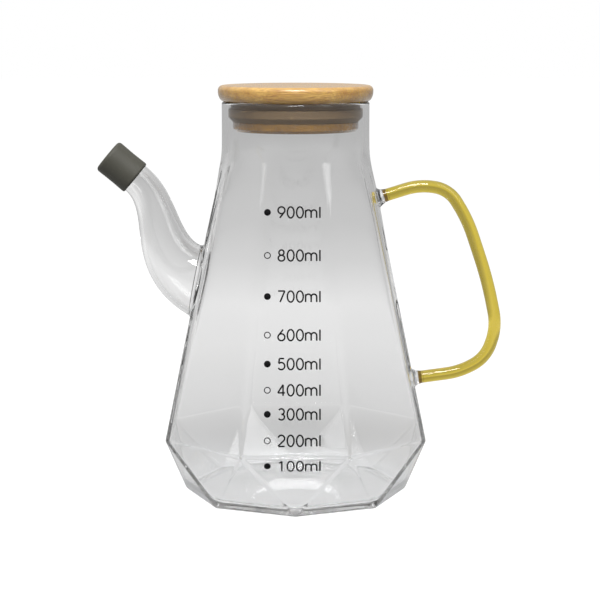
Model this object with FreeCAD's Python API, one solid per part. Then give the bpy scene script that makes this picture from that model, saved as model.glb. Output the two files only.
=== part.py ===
import FreeCAD, Part
import math
import os

# A faceted glass oil dispenser with a curved side spout, a glass rod handle and a turned
# bamboo lid. Lengths are in millimetres and angles in degrees.
#
# The frame has +Z up and its origin at the centre of the flat base. The spout leaves the
# vessel towards -X and the handle towards +X, each from the middle of a flat face, and
# another flat face, the one that carries the scale, looks along -Y.
#
# Five solids, one file each: the clear vessel with its fused spout and handle nubs, the
# amber handle rod, the lid, the seal in the lid's groove and the cap on the spout.

# ---- Driving dimensions ---------------------------------------------------------------

# Vessel: a tapering body with flat faces under a round neck, over a base of triangles. The
# corners of the base lie halfway between the corners of the belt.
SIDES = 8
BASE_RADIUS = 50.5            # centre to a corner of the base
BELT_RADIUS = 63.4            # centre to a corner at the widest level
BELT_HEIGHT = 28.4
NECK_RADIUS = 33.3            # outside of the round neck
SHOULDER_HEIGHT = 157.0       # where the flat faces reach the round neck
NECK_LENGTH = 22.6            # from there up to the rim
WALL = 2.6
FLOOR = 3.6
RIM_ROUND_SHARE = 0.35        # rounding of the rim's two edges, as a share of the wall

# Spout: its centreline is one Bezier curve in the XZ plane, from a root inside the vessel
# to the mouth of the cap, and it then runs straight on inside the cap.
SPOUT_ROOT_DROP = 62.0        # root of the centreline, below the shoulder
SPOUT_ROOT_INSET = 10.7       # root of the centreline, behind the vessel's face
SPOUT_ROOT_RISE = 13.0        # slope of the centreline where it leaves the root
SPOUT_ROOT_PULL = 35.0        # length of the Bezier handle at the root
SPOUT_ROOT_RADIUS = 18.2      # half height of the root's section
SPOUT_ROOT_HALF_WIDTH = 15.0  # half width of the root's section, along Y
SPOUT_REACH = 27.1            # mouth of the cap, out from the vessel's face
SPOUT_RISE = 49.75            # mouth of the cap, above the root
SPOUT_TIP_SLOPE = 39.8        # slope of the tip above the horizontal
SPOUT_TIP_PULL = 22.0         # length of the Bezier handle at the tip
SPOUT_TIP_RADIUS = 7.2
SPOUT_TAPER = 1.69            # power of the change of section from tip to root
SPOUT_WALL = 1.9
SPOUT_SECTIONS = 9

# Cap on the spout
CAP_LENGTH = 16.3
CAP_WALL = 0.9
CAP_CLEARANCE = 0.05          # between the cap's bore and the spout's tip
CAP_DEPTH = 12.0              # how far the tip reaches into the cap
CAP_ROUND = 1.6

# Handle: a round rod in the XZ plane. Its bends are points given as shares of the height
# between its two ends and of its reach beyond the line that joins them.
HANDLE_RADIUS = 2.85
HANDLE_TOP_DROP = 20.3        # upper end, below the shoulder
HANDLE_FOOT_RISE = 24.6       # lower end, above the belt
HANDLE_REACH = 40.1
HANDLE_BENDS = [
    (1.060, 0.428),
    (1.036, 0.753),
    (0.870, 0.902),
    (0.543, 1.000),
    (0.280, 1.007),
    (0.109, 0.815),
    (0.031, 0.489),
]
HANDLE_ARC_SHARE = 0.48       # of the shorter run beside a bend, taken up by its arc

# Clear nubs that join the rod to the vessel
NUB_LENGTH = 2.6              # from the vessel's face to the end of the rod
NUB_FLARE = 2.3               # root radius of a nub, beyond the rod's
NUB_LIP = 0.3                 # end radius of a nub, beyond the rod's

# Lid: one turned piece, a disc on the rim over a smaller disc in the neck, with a groove
# between them for the seal.
LID_OVERHANG = 1.7            # beyond the outside of the neck
LID_THICKNESS = 7.1
LID_TOP_ROUND = 2.2
LID_UNDER_ROUND = 3.0
GROOVE_HEIGHT = 9.0
GROOVE_DEPTH = 4.2
PLUG_CLEARANCE = 2.4          # between the smaller disc and the inside of the neck
PLUG_THICKNESS = 4.3
PLUG_CHAMFER = 1.3            # round the foot of the smaller disc

# Seal: a ring in the groove, with a sloping foot, a straight lip and a thinner collar.
# Its heights are above the smaller disc.
SEAL_CLEARANCE = 0.4          # between the lip and the inside of the neck
SEAL_FOOT_INSET = 2.0         # the foot, inside the lip
SEAL_COLLAR_INSET = 1.2       # the collar, inside the lip
SEAL_LIP_START = 2.2
SEAL_LIP_END = 5.8
SEAL_COLLAR_START = 6.3
SEAL_HEIGHT = 8.7

# ---- Sizes that follow ----------------------------------------------------------------

RIM_HEIGHT = SHOULDER_HEIGHT + NECK_LENGTH
NECK_BORE = NECK_RADIUS - WALL
SPOUT_ROOT_HEIGHT = SHOULDER_HEIGHT - SPOUT_ROOT_DROP
HANDLE_TOP_HEIGHT = SHOULDER_HEIGHT - HANDLE_TOP_DROP
HANDLE_FOOT_HEIGHT = BELT_HEIGHT + HANDLE_FOOT_RISE
PLUG_RADIUS = NECK_BORE - PLUG_CLEARANCE
GROOVE_RADIUS = PLUG_RADIUS - GROOVE_DEPTH
PLUG_TOP = RIM_HEIGHT - GROOVE_HEIGHT
CAP_BORE = SPOUT_TIP_RADIUS + CAP_CLEARANCE

UP = FreeCAD.Vector(0, 0, 1)


def in_plane(x, z):
    """Point of the XZ plane, where the spout and the handle lie."""
    return FreeCAD.Vector(x, 0, z)


def face_reach(height):
    """Distance from the axis to the middle of a flat face, or to the neck, above the belt."""
    share = (height - BELT_HEIGHT) / (SHOULDER_HEIGHT - BELT_HEIGHT)
    belt_reach = BELT_RADIUS * math.cos(math.pi / SIDES)
    return max(NECK_RADIUS, belt_reach + (NECK_RADIUS - belt_reach) * share)


# ---- Vessel ---------------------------------------------------------------------------

def corners(radius, height, turn):
    """Corners of a level polygon, turned by a share of one side's angle."""
    points = []
    for side in range(SIDES):
        angle = 2 * math.pi * (side + turn) / SIDES
        points.append(FreeCAD.Vector(radius * math.cos(angle), radius * math.sin(angle), height))
    return points


def facet_planes():
    """Each flat facet of the body, as a point on it and its outward normal."""
    base = corners(BASE_RADIUS, 0, 0)
    belt = corners(BELT_RADIUS, BELT_HEIGHT, 0.5)
    top = corners(NECK_RADIUS / math.cos(math.pi / SIDES), SHOULDER_HEIGHT, 0.5)
    triangles = []
    for side in range(SIDES):
        after = (side + 1) % SIDES
        triangles.append((belt[side], belt[after], top[side]))
        triangles.append((belt[side], base[after], belt[after]))
        triangles.append((base[side], base[after], belt[side]))
    planes = []
    for first, second, third in triangles:
        normal = (second - first).cross(third - first).normalize()
        outward = FreeCAD.Vector(first.x + second.x + third.x, first.y + second.y + third.y, 0)
        if normal.dot(outward) < 0:
            normal = normal * -1
        planes.append((first, normal))
    return planes


def faceted_block(inset, bottom):
    """Solid inside the body's facets and shoulder, moved inwards by the inset, from a level up."""
    height = SHOULDER_HEIGHT - inset - bottom
    block = Part.makeCylinder(2 * BELT_RADIUS, height, FreeCAD.Vector(0, 0, bottom))
    for point, normal in facet_planes():
        moved = point - normal * inset
        plane_face = Part.Face(Part.Plane(moved, normal))
        block = block.cut(plane_face.makeHalfSpace(moved + normal))
    return block


def body_form(inset, bottom):
    """The body's outside, or with an inset its cavity, with the round neck on top."""
    neck_length = RIM_HEIGHT - BELT_HEIGHT
    neck = Part.makeCylinder(NECK_RADIUS - inset, neck_length, FreeCAD.Vector(0, 0, BELT_HEIGHT))
    return faceted_block(inset, bottom).fuse(neck)


# ---- Spout ----------------------------------------------------------------------------

def spout_tip_direction():
    """Direction of the tip, out of the cap's mouth towards its closed end."""
    slope = math.radians(SPOUT_TIP_SLOPE)
    return in_plane(-math.cos(slope), math.sin(slope))


def spout_mouth():
    """Point of the spout's axis at the mouth of the cap."""
    reach = face_reach(SPOUT_ROOT_HEIGHT) + SPOUT_REACH
    return in_plane(-reach, SPOUT_ROOT_HEIGHT + SPOUT_RISE)


def spout_point(share):
    """Point and direction of the spout's centreline, from its root (0) to the cap (1)."""
    rise = math.radians(SPOUT_ROOT_RISE)
    root = in_plane(SPOUT_ROOT_INSET - face_reach(SPOUT_ROOT_HEIGHT), SPOUT_ROOT_HEIGHT)
    after_root = root + in_plane(-math.cos(rise), math.sin(rise)) * SPOUT_ROOT_PULL
    mouth = spout_mouth()
    before_mouth = mouth - spout_tip_direction() * SPOUT_TIP_PULL
    curve = Part.BezierCurve()
    curve.setPoles([root, after_root, before_mouth, mouth])
    return curve.value(share), curve.tangent(share)[0]


def spout_section(share, inset):
    """Closed oval across the spout's centreline, smaller by the inset."""
    centre, direction = spout_point(share)
    growth = (1 - share) ** SPOUT_TAPER
    half_height = SPOUT_TIP_RADIUS + (SPOUT_ROOT_RADIUS - SPOUT_TIP_RADIUS) * growth - inset
    half_width = SPOUT_TIP_RADIUS + (SPOUT_ROOT_HALF_WIDTH - SPOUT_TIP_RADIUS) * growth - inset
    tall_axis = direction.cross(FreeCAD.Vector(0, 1, 0)).normalize()
    oval = Part.Ellipse(centre + tall_axis * half_height,
                        centre + FreeCAD.Vector(0, half_width, 0), centre)
    return Part.Wire([oval.toShape()])


def spout_form(inset, straight):
    """The spout's outside, or with an inset its bore, with a straight end in the cap."""
    sections = [spout_section(i / SPOUT_SECTIONS, inset) for i in range(SPOUT_SECTIONS)]
    tip = spout_mouth()
    direction = spout_tip_direction()
    radius = SPOUT_TIP_RADIUS - inset
    sections.append(Part.Wire([Part.Circle(tip, direction, radius).toShape()]))
    curved = Part.makeLoft(sections, True, False)
    return curved.fuse(Part.makeCylinder(radius, straight, tip, direction))


# ---- Handle ---------------------------------------------------------------------------

def handle_points():
    """Ends and bends of the rod's centreline, from its top to its foot."""
    top = in_plane(face_reach(HANDLE_TOP_HEIGHT) + NUB_LENGTH, HANDLE_TOP_HEIGHT)
    foot = in_plane(face_reach(HANDLE_FOOT_HEIGHT) + NUB_LENGTH, HANDLE_FOOT_HEIGHT)
    points = [top]
    for height_share, reach_share in HANDLE_BENDS:
        on_line = foot + (top - foot) * height_share
        points.append(on_line + in_plane(HANDLE_REACH * reach_share, 0))
    points.append(foot)
    return points


def handle_path(points):
    """Straight runs through the points, joined by arcs that touch both runs."""
    edges = []
    start = points[0]
    for before, bend, after in zip(points, points[1:], points[2:]):
        back = before - bend
        ahead = after - bend
        setback = HANDLE_ARC_SHARE * min(back.Length, ahead.Length)
        back.normalize()
        ahead.normalize()
        arc_start = bend + back * setback
        arc_end = bend + ahead * setback
        half_angle = back.getAngle(ahead) / 2
        radius = setback * math.tan(half_angle)
        to_centre = (back + ahead).normalize()
        arc_middle = bend + to_centre * (radius / math.sin(half_angle) - radius)
        edges.append(Part.LineSegment(start, arc_start).toShape())
        edges.append(Part.Arc(arc_start, arc_middle, arc_end).toShape())
        start = arc_end
    edges.append(Part.LineSegment(start, points[-1]).toShape())
    return Part.Wire(edges)


def handle_rod():
    """The amber rod, swept along its path."""
    points = handle_points()
    ring = Part.Circle(points[0], points[1] - points[0], HANDLE_RADIUS)
    return handle_path(points).makePipeShell([Part.Wire([ring.toShape()])], True, False)


def nub(end, along):
    """Clear flared stub, from the middle of the vessel's wall out to one end of the rod."""
    outward = along.normalize()
    length = (NUB_LENGTH + WALL / 2) / outward.x
    return Part.makeCone(HANDLE_RADIUS + NUB_FLARE, HANDLE_RADIUS + NUB_LIP, length,
                         end - outward * length, outward)


# ---- Pieces ---------------------------------------------------------------------------

def edges_at(solid, height, radius):
    """Round edges of a turned solid at one height, of at least the given radius."""
    chosen = []
    for edge in solid.Edges:
        box = edge.BoundBox
        if abs(box.ZMin - height) < 1e-4 and box.ZLength < 1e-4 and box.XMax > radius - 1e-3:
            chosen.append(edge)
    return chosen


def glass_vessel():
    """Clear glass: body, spout and nubs in one piece, hollow and open at both mouths."""
    points = handle_points()
    outside = body_form(0, 0).fuse(spout_form(0, CAP_DEPTH))
    outside = outside.fuse(nub(points[0], points[1] - points[0]))
    outside = outside.fuse(nub(points[-1], points[-2] - points[-1]))
    cavity = body_form(WALL, FLOOR)
    bore = spout_form(SPOUT_WALL, CAP_DEPTH + 1)
    vessel = outside.cut(cavity).cut(bore)
    rim_edges = edges_at(vessel, RIM_HEIGHT, NECK_BORE)
    return vessel.makeFillet(RIM_ROUND_SHARE * WALL, rim_edges)


def lid():
    """Bamboo lid: the disc on the rim, the core of the groove and the smaller disc."""
    lid_radius = NECK_RADIUS + LID_OVERHANG
    disc = Part.makeCylinder(lid_radius, LID_THICKNESS, FreeCAD.Vector(0, 0, RIM_HEIGHT))
    disc = disc.makeFillet(LID_TOP_ROUND, edges_at(disc, RIM_HEIGHT + LID_THICKNESS, lid_radius))
    disc = disc.makeFillet(LID_UNDER_ROUND, edges_at(disc, RIM_HEIGHT, lid_radius))
    plug_foot = PLUG_TOP - PLUG_THICKNESS
    plug = Part.makeCylinder(PLUG_RADIUS, PLUG_THICKNESS, FreeCAD.Vector(0, 0, plug_foot))
    plug = plug.makeChamfer(PLUG_CHAMFER, edges_at(plug, plug_foot, PLUG_RADIUS))
    core = Part.makeCylinder(GROOVE_RADIUS, GROOVE_HEIGHT, FreeCAD.Vector(0, 0, PLUG_TOP))
    return disc.fuse([core, plug]).removeSplitter()


def lid_seal():
    """Seal ring: a sloping foot, a lip near the glass and a thinner collar, turned."""
    lip = NECK_BORE - SEAL_CLEARANCE
    foot = lip - SEAL_FOOT_INSET
    collar = lip - SEAL_COLLAR_INSET
    outline = [
        (GROOVE_RADIUS, 0),
        (foot, 0),
        (lip, SEAL_LIP_START),
        (lip, SEAL_LIP_END),
        (collar, SEAL_COLLAR_START),
        (collar, SEAL_HEIGHT),
        (GROOVE_RADIUS, SEAL_HEIGHT),
        (GROOVE_RADIUS, 0),
    ]
    profile = Part.Face(Part.makePolygon([in_plane(x, PLUG_TOP + z) for x, z in outline]))
    return profile.revolve(FreeCAD.Vector(0, 0, 0), UP, 360)


def spout_cap():
    """Soft cap: a rounded thimble over the spout's straight tip."""
    mouth = spout_mouth()
    direction = spout_tip_direction()
    shell = Part.makeCylinder(CAP_BORE + CAP_WALL, CAP_LENGTH, mouth, direction)
    rims = [edge for edge in shell.Edges if isinstance(edge.Curve, Part.Circle)]
    shell = shell.makeFillet(min(CAP_ROUND, 0.9 * (CAP_LENGTH - CAP_DEPTH)), far_edges(rims, mouth))
    return shell.cut(Part.makeCylinder(CAP_BORE, CAP_DEPTH, mouth, direction))


def far_edges(edges, point):
    """The edges whose centre lies away from a point."""
    return [edge for edge in edges if edge.Curve.Center.distanceToPoint(point) > 1]


# ---- Files ----------------------------------------------------------------------------

PIECES = {
    "glass_vessel": glass_vessel,
    "handle": handle_rod,
    "lid": lid,
    "lid_seal": lid_seal,
    "spout_cap": spout_cap,
}

os.makedirs("parts", exist_ok=True)
for name, make in PIECES.items():
    shape = make()
    solid = shape.Solids[0]
    print(name, "solids", len(shape.Solids), "valid", solid.isValid(),
          "volume", round(solid.Volume, 1), "box", solid.BoundBox)
    solid.exportStep("parts/" + name + ".step")
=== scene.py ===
"""Looks of a faceted glass oil dispenser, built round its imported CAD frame.

The dispenser has five pieces: a clear glass vessel with a curved side spout, an amber glass
rod handle, a turned bamboo lid, the silicone seal in the lid's groove and the silicone cap
on the spout. A printed volume scale stands on the vessel's front. Lengths are in metres;
sizes written in millimetres are multiplied by MM.
"""

import logging
import math
from dataclasses import astuple, dataclass, field
from enum import Enum
from typing import Callable, Sequence

import bmesh
import bpy
import numpy as np
from mathutils import Euler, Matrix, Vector
from mathutils.geometry import delaunay_2d_cdt

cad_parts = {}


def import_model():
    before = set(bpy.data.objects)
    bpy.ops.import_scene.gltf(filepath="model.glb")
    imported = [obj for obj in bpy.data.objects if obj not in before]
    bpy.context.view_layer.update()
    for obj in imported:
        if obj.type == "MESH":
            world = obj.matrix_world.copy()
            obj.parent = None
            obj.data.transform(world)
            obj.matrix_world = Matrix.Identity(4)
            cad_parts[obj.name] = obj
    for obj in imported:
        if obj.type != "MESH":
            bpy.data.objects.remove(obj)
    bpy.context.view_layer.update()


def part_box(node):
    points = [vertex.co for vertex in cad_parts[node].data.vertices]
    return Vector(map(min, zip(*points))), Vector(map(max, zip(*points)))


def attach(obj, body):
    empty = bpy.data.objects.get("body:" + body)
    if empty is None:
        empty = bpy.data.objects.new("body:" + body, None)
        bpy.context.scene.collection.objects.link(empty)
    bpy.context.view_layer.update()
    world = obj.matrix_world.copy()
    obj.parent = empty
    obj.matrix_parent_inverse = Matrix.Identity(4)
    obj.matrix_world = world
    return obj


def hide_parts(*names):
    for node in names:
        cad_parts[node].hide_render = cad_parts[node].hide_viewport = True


MM = 0.001
UP = np.array([0.0, 0.0, 1.0])
SIDE = np.array([0.0, 1.0, 0.0])
HALVINGS = 44
CORE_RADIUS = 24.1 * MM
Patch = tuple[np.ndarray, np.ndarray]  # points and normals, rings by columns
log = logging.getLogger("oil_dispenser")


# ---- Small helpers --------------------------------------------------------------------

def unit(vectors: np.ndarray) -> np.ndarray:
    """Vectors scaled to length 1 along their last axis."""
    lengths = np.linalg.norm(vectors, axis=-1, keepdims=True)
    return vectors / np.maximum(lengths, 1e-12)


def spokes(turn: np.ndarray, first: np.ndarray, second: np.ndarray) -> np.ndarray:
    """Vectors at turns from a first vector towards a second one."""
    return np.cos(turn)[..., None] * first + np.sin(turn)[..., None] * second


def smooth_max(values: np.ndarray, softness: float | np.ndarray) -> np.ndarray:
    """Largest value in each row, rounded off where two values are close.

    Args:
        values: signed distances, one column for each surface.
        softness: length over which two surfaces run into each other, for all rows or each.

    Returns:
        One distance for each row of values.
    """
    soft = np.broadcast_to(softness, len(values))
    top = values.max(axis=1)
    spread = np.exp((values - top[:, None]) / soft[:, None]).sum(axis=1)
    return top + soft * np.log(spread)


def bisect(outside: Callable[[np.ndarray], np.ndarray], far: np.ndarray) -> np.ndarray:
    """Where a length that starts inside something, at 0, comes out of it.

    Args:
        outside: tells for each length whether it is outside.
        far: lengths that are outside.

    Returns:
        One length for each of far.
    """
    near = np.zeros(len(far))
    for _ in range(HALVINGS):
        middle = (near + far) / 2
        out = outside(middle)
        near, far = np.where(out, near, middle), np.where(out, middle, far)
    return (near + far) / 2


def inside_loop(points: np.ndarray, loop: np.ndarray) -> np.ndarray:
    """Whether flat points lie inside a closed flat loop.

    Args:
        points: flat points, one to a row.
        loop: corners of the loop, in order.

    Returns:
        One truth value for each point.
    """
    inside = np.zeros(len(points), bool)
    for (x0, y0), (x1, y1) in zip(loop, np.roll(loop, -1, axis=0)):
        if y0 != y1:
            spans = (points[:, 1] < y0) != (points[:, 1] < y1)
            inside ^= spans & (points[:, 0] < x0 + (points[:, 1] - y0) * (x1 - x0) / (y1 - y0))
    return inside


def rounded_end(centre: np.ndarray, radial: np.ndarray, ahead: np.ndarray, reach: float,
                wall: float, steps: int) -> Patch:
    """Rounded end of a tube's wall, from its outside round to its bore.

    Args:
        centre: point of the axis where the rounding starts.
        radial: directions away from the axis, one for each meridian.
        ahead: direction of the axis.
        reach: outer radius of the tube.
        wall: thickness of its wall.
        steps: number of rings.

    Returns:
        Points and normals, rings by meridians.
    """
    turn = np.linspace(0.0, math.pi, steps)[:, None]
    normals = spokes(turn, radial, ahead)
    return centre + radial * (reach - wall / 2) + normals * wall / 2, normals


def walled(outer: Patch, end: Patch, inner: Patch) -> Patch:
    """One grid of a wall's outside, its rounded end and its inside, whose normals are turned."""
    points = np.concatenate([outer[0], end[0], inner[0][::-1]])
    return points, np.concatenate([outer[1], end[1], -inner[1][::-1]])


def arc(x: float, z: float, size: float | tuple[float, float], start: float, stop: float,
        steps: int = 8) -> list[tuple[float, float]]:
    """Points on part of an oval.

    Args:
        x: the centre's first coordinate.
        z: its second coordinate.
        size: radius, or half width and half height.
        start: first angle, in degrees.
        stop: last angle.
        steps: number of steps between them.

    Returns:
        The points, one more than the steps.
    """
    wide, tall = np.broadcast_to(size, 2)
    angles = np.radians(np.linspace(start, stop, steps + 1))
    return [(x + wide * math.cos(a), z + tall * math.sin(a)) for a in angles]


def in_scene(name: str, data: bpy.types.ID) -> bpy.types.Object:
    """Makes an object and links it to the scene.

    Args:
        name: its name.
        data: its mesh, curve, lamp or camera data.

    Returns:
        The object.
    """
    made = bpy.data.objects.new(name, data)
    bpy.context.scene.collection.objects.link(made)
    return made


def close_up(mesh: bpy.types.Mesh, seam: float = 0.0) -> int:
    """Turns all faces of a mesh outwards.

    Args:
        mesh: the mesh.
        seam: points that lie this near each other are joined first.

    Returns:
        Number of its open edges.
    """
    build = bmesh.new()
    build.from_mesh(mesh)
    if seam:
        bmesh.ops.remove_doubles(build, verts=build.verts, dist=seam)
    bmesh.ops.recalc_face_normals(build, faces=build.faces)
    open_edges = sum(len(edge.link_faces) != 2 for edge in build.edges)
    build.to_mesh(mesh)
    build.free()
    return open_edges


class Skin:
    """Points, shading normals and faces of one closed surface, gathered patch by patch."""

    SEAM = 1e-7
    NORMAL_NAME = "shade"

    def __init__(self) -> None:
        """Starts with no patches."""
        self.points: list[np.ndarray] = []
        self.normals: list[np.ndarray] = []
        self.faces: list[tuple[int, ...]] = []
        self.count = 0

    def add(self, points: np.ndarray, normals: np.ndarray, faces: Sequence[Sequence[int]]) -> None:
        """Adds a patch.

        Args:
            points: the patch's points, one to a row.
            normals: the outward direction at each point.
            faces: corners of each face, as rows of points.
        """
        self.faces += [tuple(int(corner) + self.count for corner in face) for face in faces]
        self.points.append(points)
        self.normals.append(normals)
        self.count += len(points)

    def add_grid(self, points: np.ndarray, normals: np.ndarray, skip: np.ndarray | None = None) -> None:
        """Adds a grid of rings, each closed on itself.

        Args:
            points: rings by columns by 3.
            normals: the outward direction at each point.
            skip: cells to leave out, rings - 1 by columns.
        """
        rings, columns = points.shape[:2]
        faces = []
        for ring, column in np.ndindex(rings - 1, columns):
            if skip is None or not skip[ring, column]:
                here, above, after = ring * columns, (ring + 1) * columns, (column + 1) % columns
                faces.append((here + column, here + after, above + after, above + column))
        self.add(points.reshape(-1, 3), normals.reshape(-1, 3), faces)

    def add_flat(self, outline: np.ndarray, holes: Sequence[np.ndarray], normal: np.ndarray) -> None:
        """Fills a flat patch with holes.

        Args:
            outline: the patch's corners in space, in order.
            holes: the corners of each hole, in order.
            normal: the plane's outward direction.
        """
        points = np.concatenate([outline, *holes])
        across = unit(np.cross(normal, UP))
        flat = np.stack([points @ across, points @ np.cross(normal, across)], axis=1)
        edges, loops = [], []
        for loop in (outline, *holes):
            start, size = sum(map(len, loops)), len(loop)
            edges += [(start + i, start + (i + 1) % size) for i in range(size)]
            loops.append(flat[start:start + size])
        made = delaunay_2d_cdt([Vector(p) for p in flat / MM], edges, [], 0, 1e-6)
        source = [origin[0] for origin in made[3]]
        triangles = np.array([[source[corner] for corner in face] for face in made[2]])
        middles = flat[triangles].mean(axis=1)
        keep = inside_loop(middles, loops[0])
        for loop in loops[1:]:
            keep &= ~inside_loop(middles, loop)
        self.add(points, np.tile(normal, (len(points), 1)), triangles[keep])

    def to_object(self, name: str) -> bpy.types.Object:
        """Joins the patches into one closed mesh that shades by the given normals.

        Args:
            name: name of the new object.

        Returns:
            The new object, linked to the scene.
        """
        mesh = bpy.data.meshes.new(name)
        mesh.from_pydata(np.concatenate(self.points).tolist(), [], self.faces)
        shade = mesh.attributes.new(self.NORMAL_NAME, "FLOAT_VECTOR", "POINT")
        shade.data.foreach_set("vector", unit(np.concatenate(self.normals)).ravel())
        open_edges = close_up(mesh, self.SEAM)
        if open_edges:
            log.warning("%s has %d open edges", name, open_edges)
        kept = np.zeros(3 * len(mesh.vertices))
        mesh.attributes[self.NORMAL_NAME].data.foreach_get("vector", kept)
        mesh.attributes.remove(mesh.attributes[self.NORMAL_NAME])
        mesh.shade_smooth()
        mesh.normals_split_custom_set_from_vertices(kept.reshape(-1, 3).tolist())
        return in_scene(name, mesh)


# ---- Glass vessel ---------------------------------------------------------------------

@dataclass(frozen=True)
class SlopingPlane:
    """A facet's plane, by its profile: distance from the axis against height."""

    radial: float
    vertical: float
    offset: float

    @classmethod
    def through(cls, low: tuple[float, float], high: tuple[float, float]) -> "SlopingPlane":
        """Plane whose profile passes through two points.

        Args:
            low: distance from the axis and height of the lower point.
            high: the same for the upper point.

        Returns:
            The plane, with its normal away from the axis.
        """
        run, rise = high[0] - low[0], high[1] - low[1]
        length = math.hypot(rise, run)
        radial, vertical = rise / length, -run / length
        return cls(radial, vertical, radial * low[0] + vertical * low[1])

    def reach(self, height: float | np.ndarray, inset: float = 0.0) -> float | np.ndarray:
        """Distance from the axis to the plane at a height, or to one that lies an inset inside."""
        return (self.offset - inset - self.vertical * height) / self.radial

    def meets(self, other: "SlopingPlane", inset: float) -> float:
        """Height at which two such planes cross, each moved inwards by the inset."""
        lift = (self.offset - inset) / self.radial - (other.offset - inset) / other.radial
        return lift / (self.vertical / self.radial - other.vertical / other.radial)


@dataclass(frozen=True)
class BodyShape:
    """Outline of the vessel's body: a faceted form under a round neck."""

    belt_apothem: float
    rim_height: float
    sides: int = 8
    base_radius: float = 50.5 * MM
    belt_height: float = 28.4 * MM
    neck_radius: float = 33.3 * MM
    shoulder: float = 157.0 * MM
    wall: float = 2.6 * MM

    @property
    def half_side(self) -> float:
        """Angle from the middle of a face to its corner."""
        return math.pi / self.sides

    @property
    def upper(self) -> SlopingPlane:
        """The tall faces above the belt."""
        belt = (self.belt_apothem, self.belt_height)
        return SlopingPlane.through(belt, (self.neck_radius, self.shoulder))

    @property
    def belt_triangle(self) -> SlopingPlane:
        """The triangles that hang from the belt to a corner of the base."""
        return SlopingPlane.through((self.base_radius, 0.0), (self.belt_apothem, self.belt_height))

    @property
    def base_triangle(self) -> SlopingPlane:
        """The triangles that stand on the base and reach a corner of the belt."""
        foot = self.base_radius * math.cos(self.half_side)
        corner = self.belt_apothem / math.cos(self.half_side)
        return SlopingPlane.through((foot, 0.0), (corner, self.belt_height))


@dataclass(frozen=True)
class SoftForm:
    """The body's outside or its cavity, as a formula with rounded edges."""

    shape: BodyShape
    inset: float
    floor: float
    floor_edge: float
    crown: float
    crown_radius: float
    edge: float = 0.12 * MM
    upper_edge: float = 1.6 * MM
    edge_growth: float = 0.8
    neck_blend: float = 0.8 * MM
    shoulder_slope: float = 0.45

    def facets(self, points: np.ndarray) -> np.ndarray:
        """Distance to all flat faces and to the cone that trims their corners.

        Args:
            points: points in space, one to a row.

        Returns:
            One signed distance for each point.
        """
        shape = self.shape
        reach = np.hypot(points[:, 0], points[:, 1])[:, None]
        turn = np.arctan2(points[:, 1], points[:, 0])[:, None]
        turn = turn - 2 * np.arange(shape.sides) * shape.half_side
        height = points[:, 2:]
        columns = []
        for plane, middle in (
            (shape.upper, 0.0), (shape.belt_triangle, 0.0), (shape.base_triangle, shape.half_side),
        ):
            span = reach * np.cos(turn - middle)
            columns.append(plane.radial * span + plane.vertical * height - plane.offset)
        cone = unit(np.array([1.0, self.shoulder_slope]))
        columns.append(cone[0] * (reach - shape.neck_radius) + cone[1] * (height - shape.shoulder))
        climb = (points[:, 2] - shape.belt_height) / (shape.shoulder - shape.belt_height)
        climb = np.clip(climb, 0.0, 1.0) ** self.edge_growth
        softness = self.edge + (self.upper_edge - self.edge) * climb
        return smooth_max(np.concatenate(columns, axis=1) + self.inset, softness)

    def __call__(self, points: np.ndarray) -> np.ndarray:
        """Distance to the rounded surface.

        Args:
            points: points in space, one to a row.

        Returns:
            One distance for each point, negative inside.
        """
        reach = np.hypot(points[:, 0], points[:, 1])
        round_neck = reach - (self.shape.neck_radius - self.inset)
        both = np.stack([-self.facets(points), -round_neck], axis=1)
        sides = -smooth_max(both, self.neck_blend)
        dome = np.clip(1 - (reach / self.crown_radius) ** 2, 0, None) ** 2
        level = self.floor + self.crown * dome
        return smooth_max(np.stack([sides, level - points[:, 2]], axis=1), self.floor_edge)

    def normals(self, points: np.ndarray) -> np.ndarray:
        """Outward directions of the surface at points on it."""
        steps = np.eye(3) * 0.01 * MM
        return unit(np.stack([self(points + step) - self(points - step) for step in steps], axis=1))

    def hit(self, origins: np.ndarray, directions: np.ndarray) -> np.ndarray:
        """Where rays from inside the form meet its surface.

        Args:
            origins: starts of the rays, on the axis.
            directions: unit directions of the rays.

        Returns:
            One point on the surface for each ray.
        """
        far = np.full(len(origins), 4 * self.shape.belt_apothem)
        reach = bisect(lambda length: self(origins + directions * length[:, None]) > 0, far)
        return origins + directions * reach[:, None]

    def diagonal_turn(self, height: np.ndarray) -> np.ndarray:
        """Where the edge between the two kinds of triangle lies.

        Args:
            height: heights below the belt.

        Returns:
            The edge's angle from the middle of a face, at each height.
        """
        half = self.shape.half_side
        x = self.shape.belt_triangle.reach(height, self.inset)
        to_corner = self.shape.base_triangle.reach(height, self.inset)
        y = (to_corner - x * math.cos(half)) / math.sin(half)
        return np.clip(np.arctan2(y, x), 0.0, half)

    @property
    def belt(self) -> float:
        """Height of the belt."""
        return self.shape.upper.meets(self.shape.belt_triangle, self.inset)

    @property
    def crease(self) -> float:
        """Height of the shoulder, where the faces end at the neck."""
        return self.shape.shoulder - self.inset


@dataclass(frozen=True)
class RingRow:
    """One row of the body's grid: a height on the wall, or a tilt below it.

    The height is fixed plus a share of the shoulder's. The tilt is fixed too, plus a share of
    the tilt at which a ray meets the heel.
    """

    fixed: float
    crease_share: float = 0.0
    tilt: float = 0.0
    heel_share: float = 0.0


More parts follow.
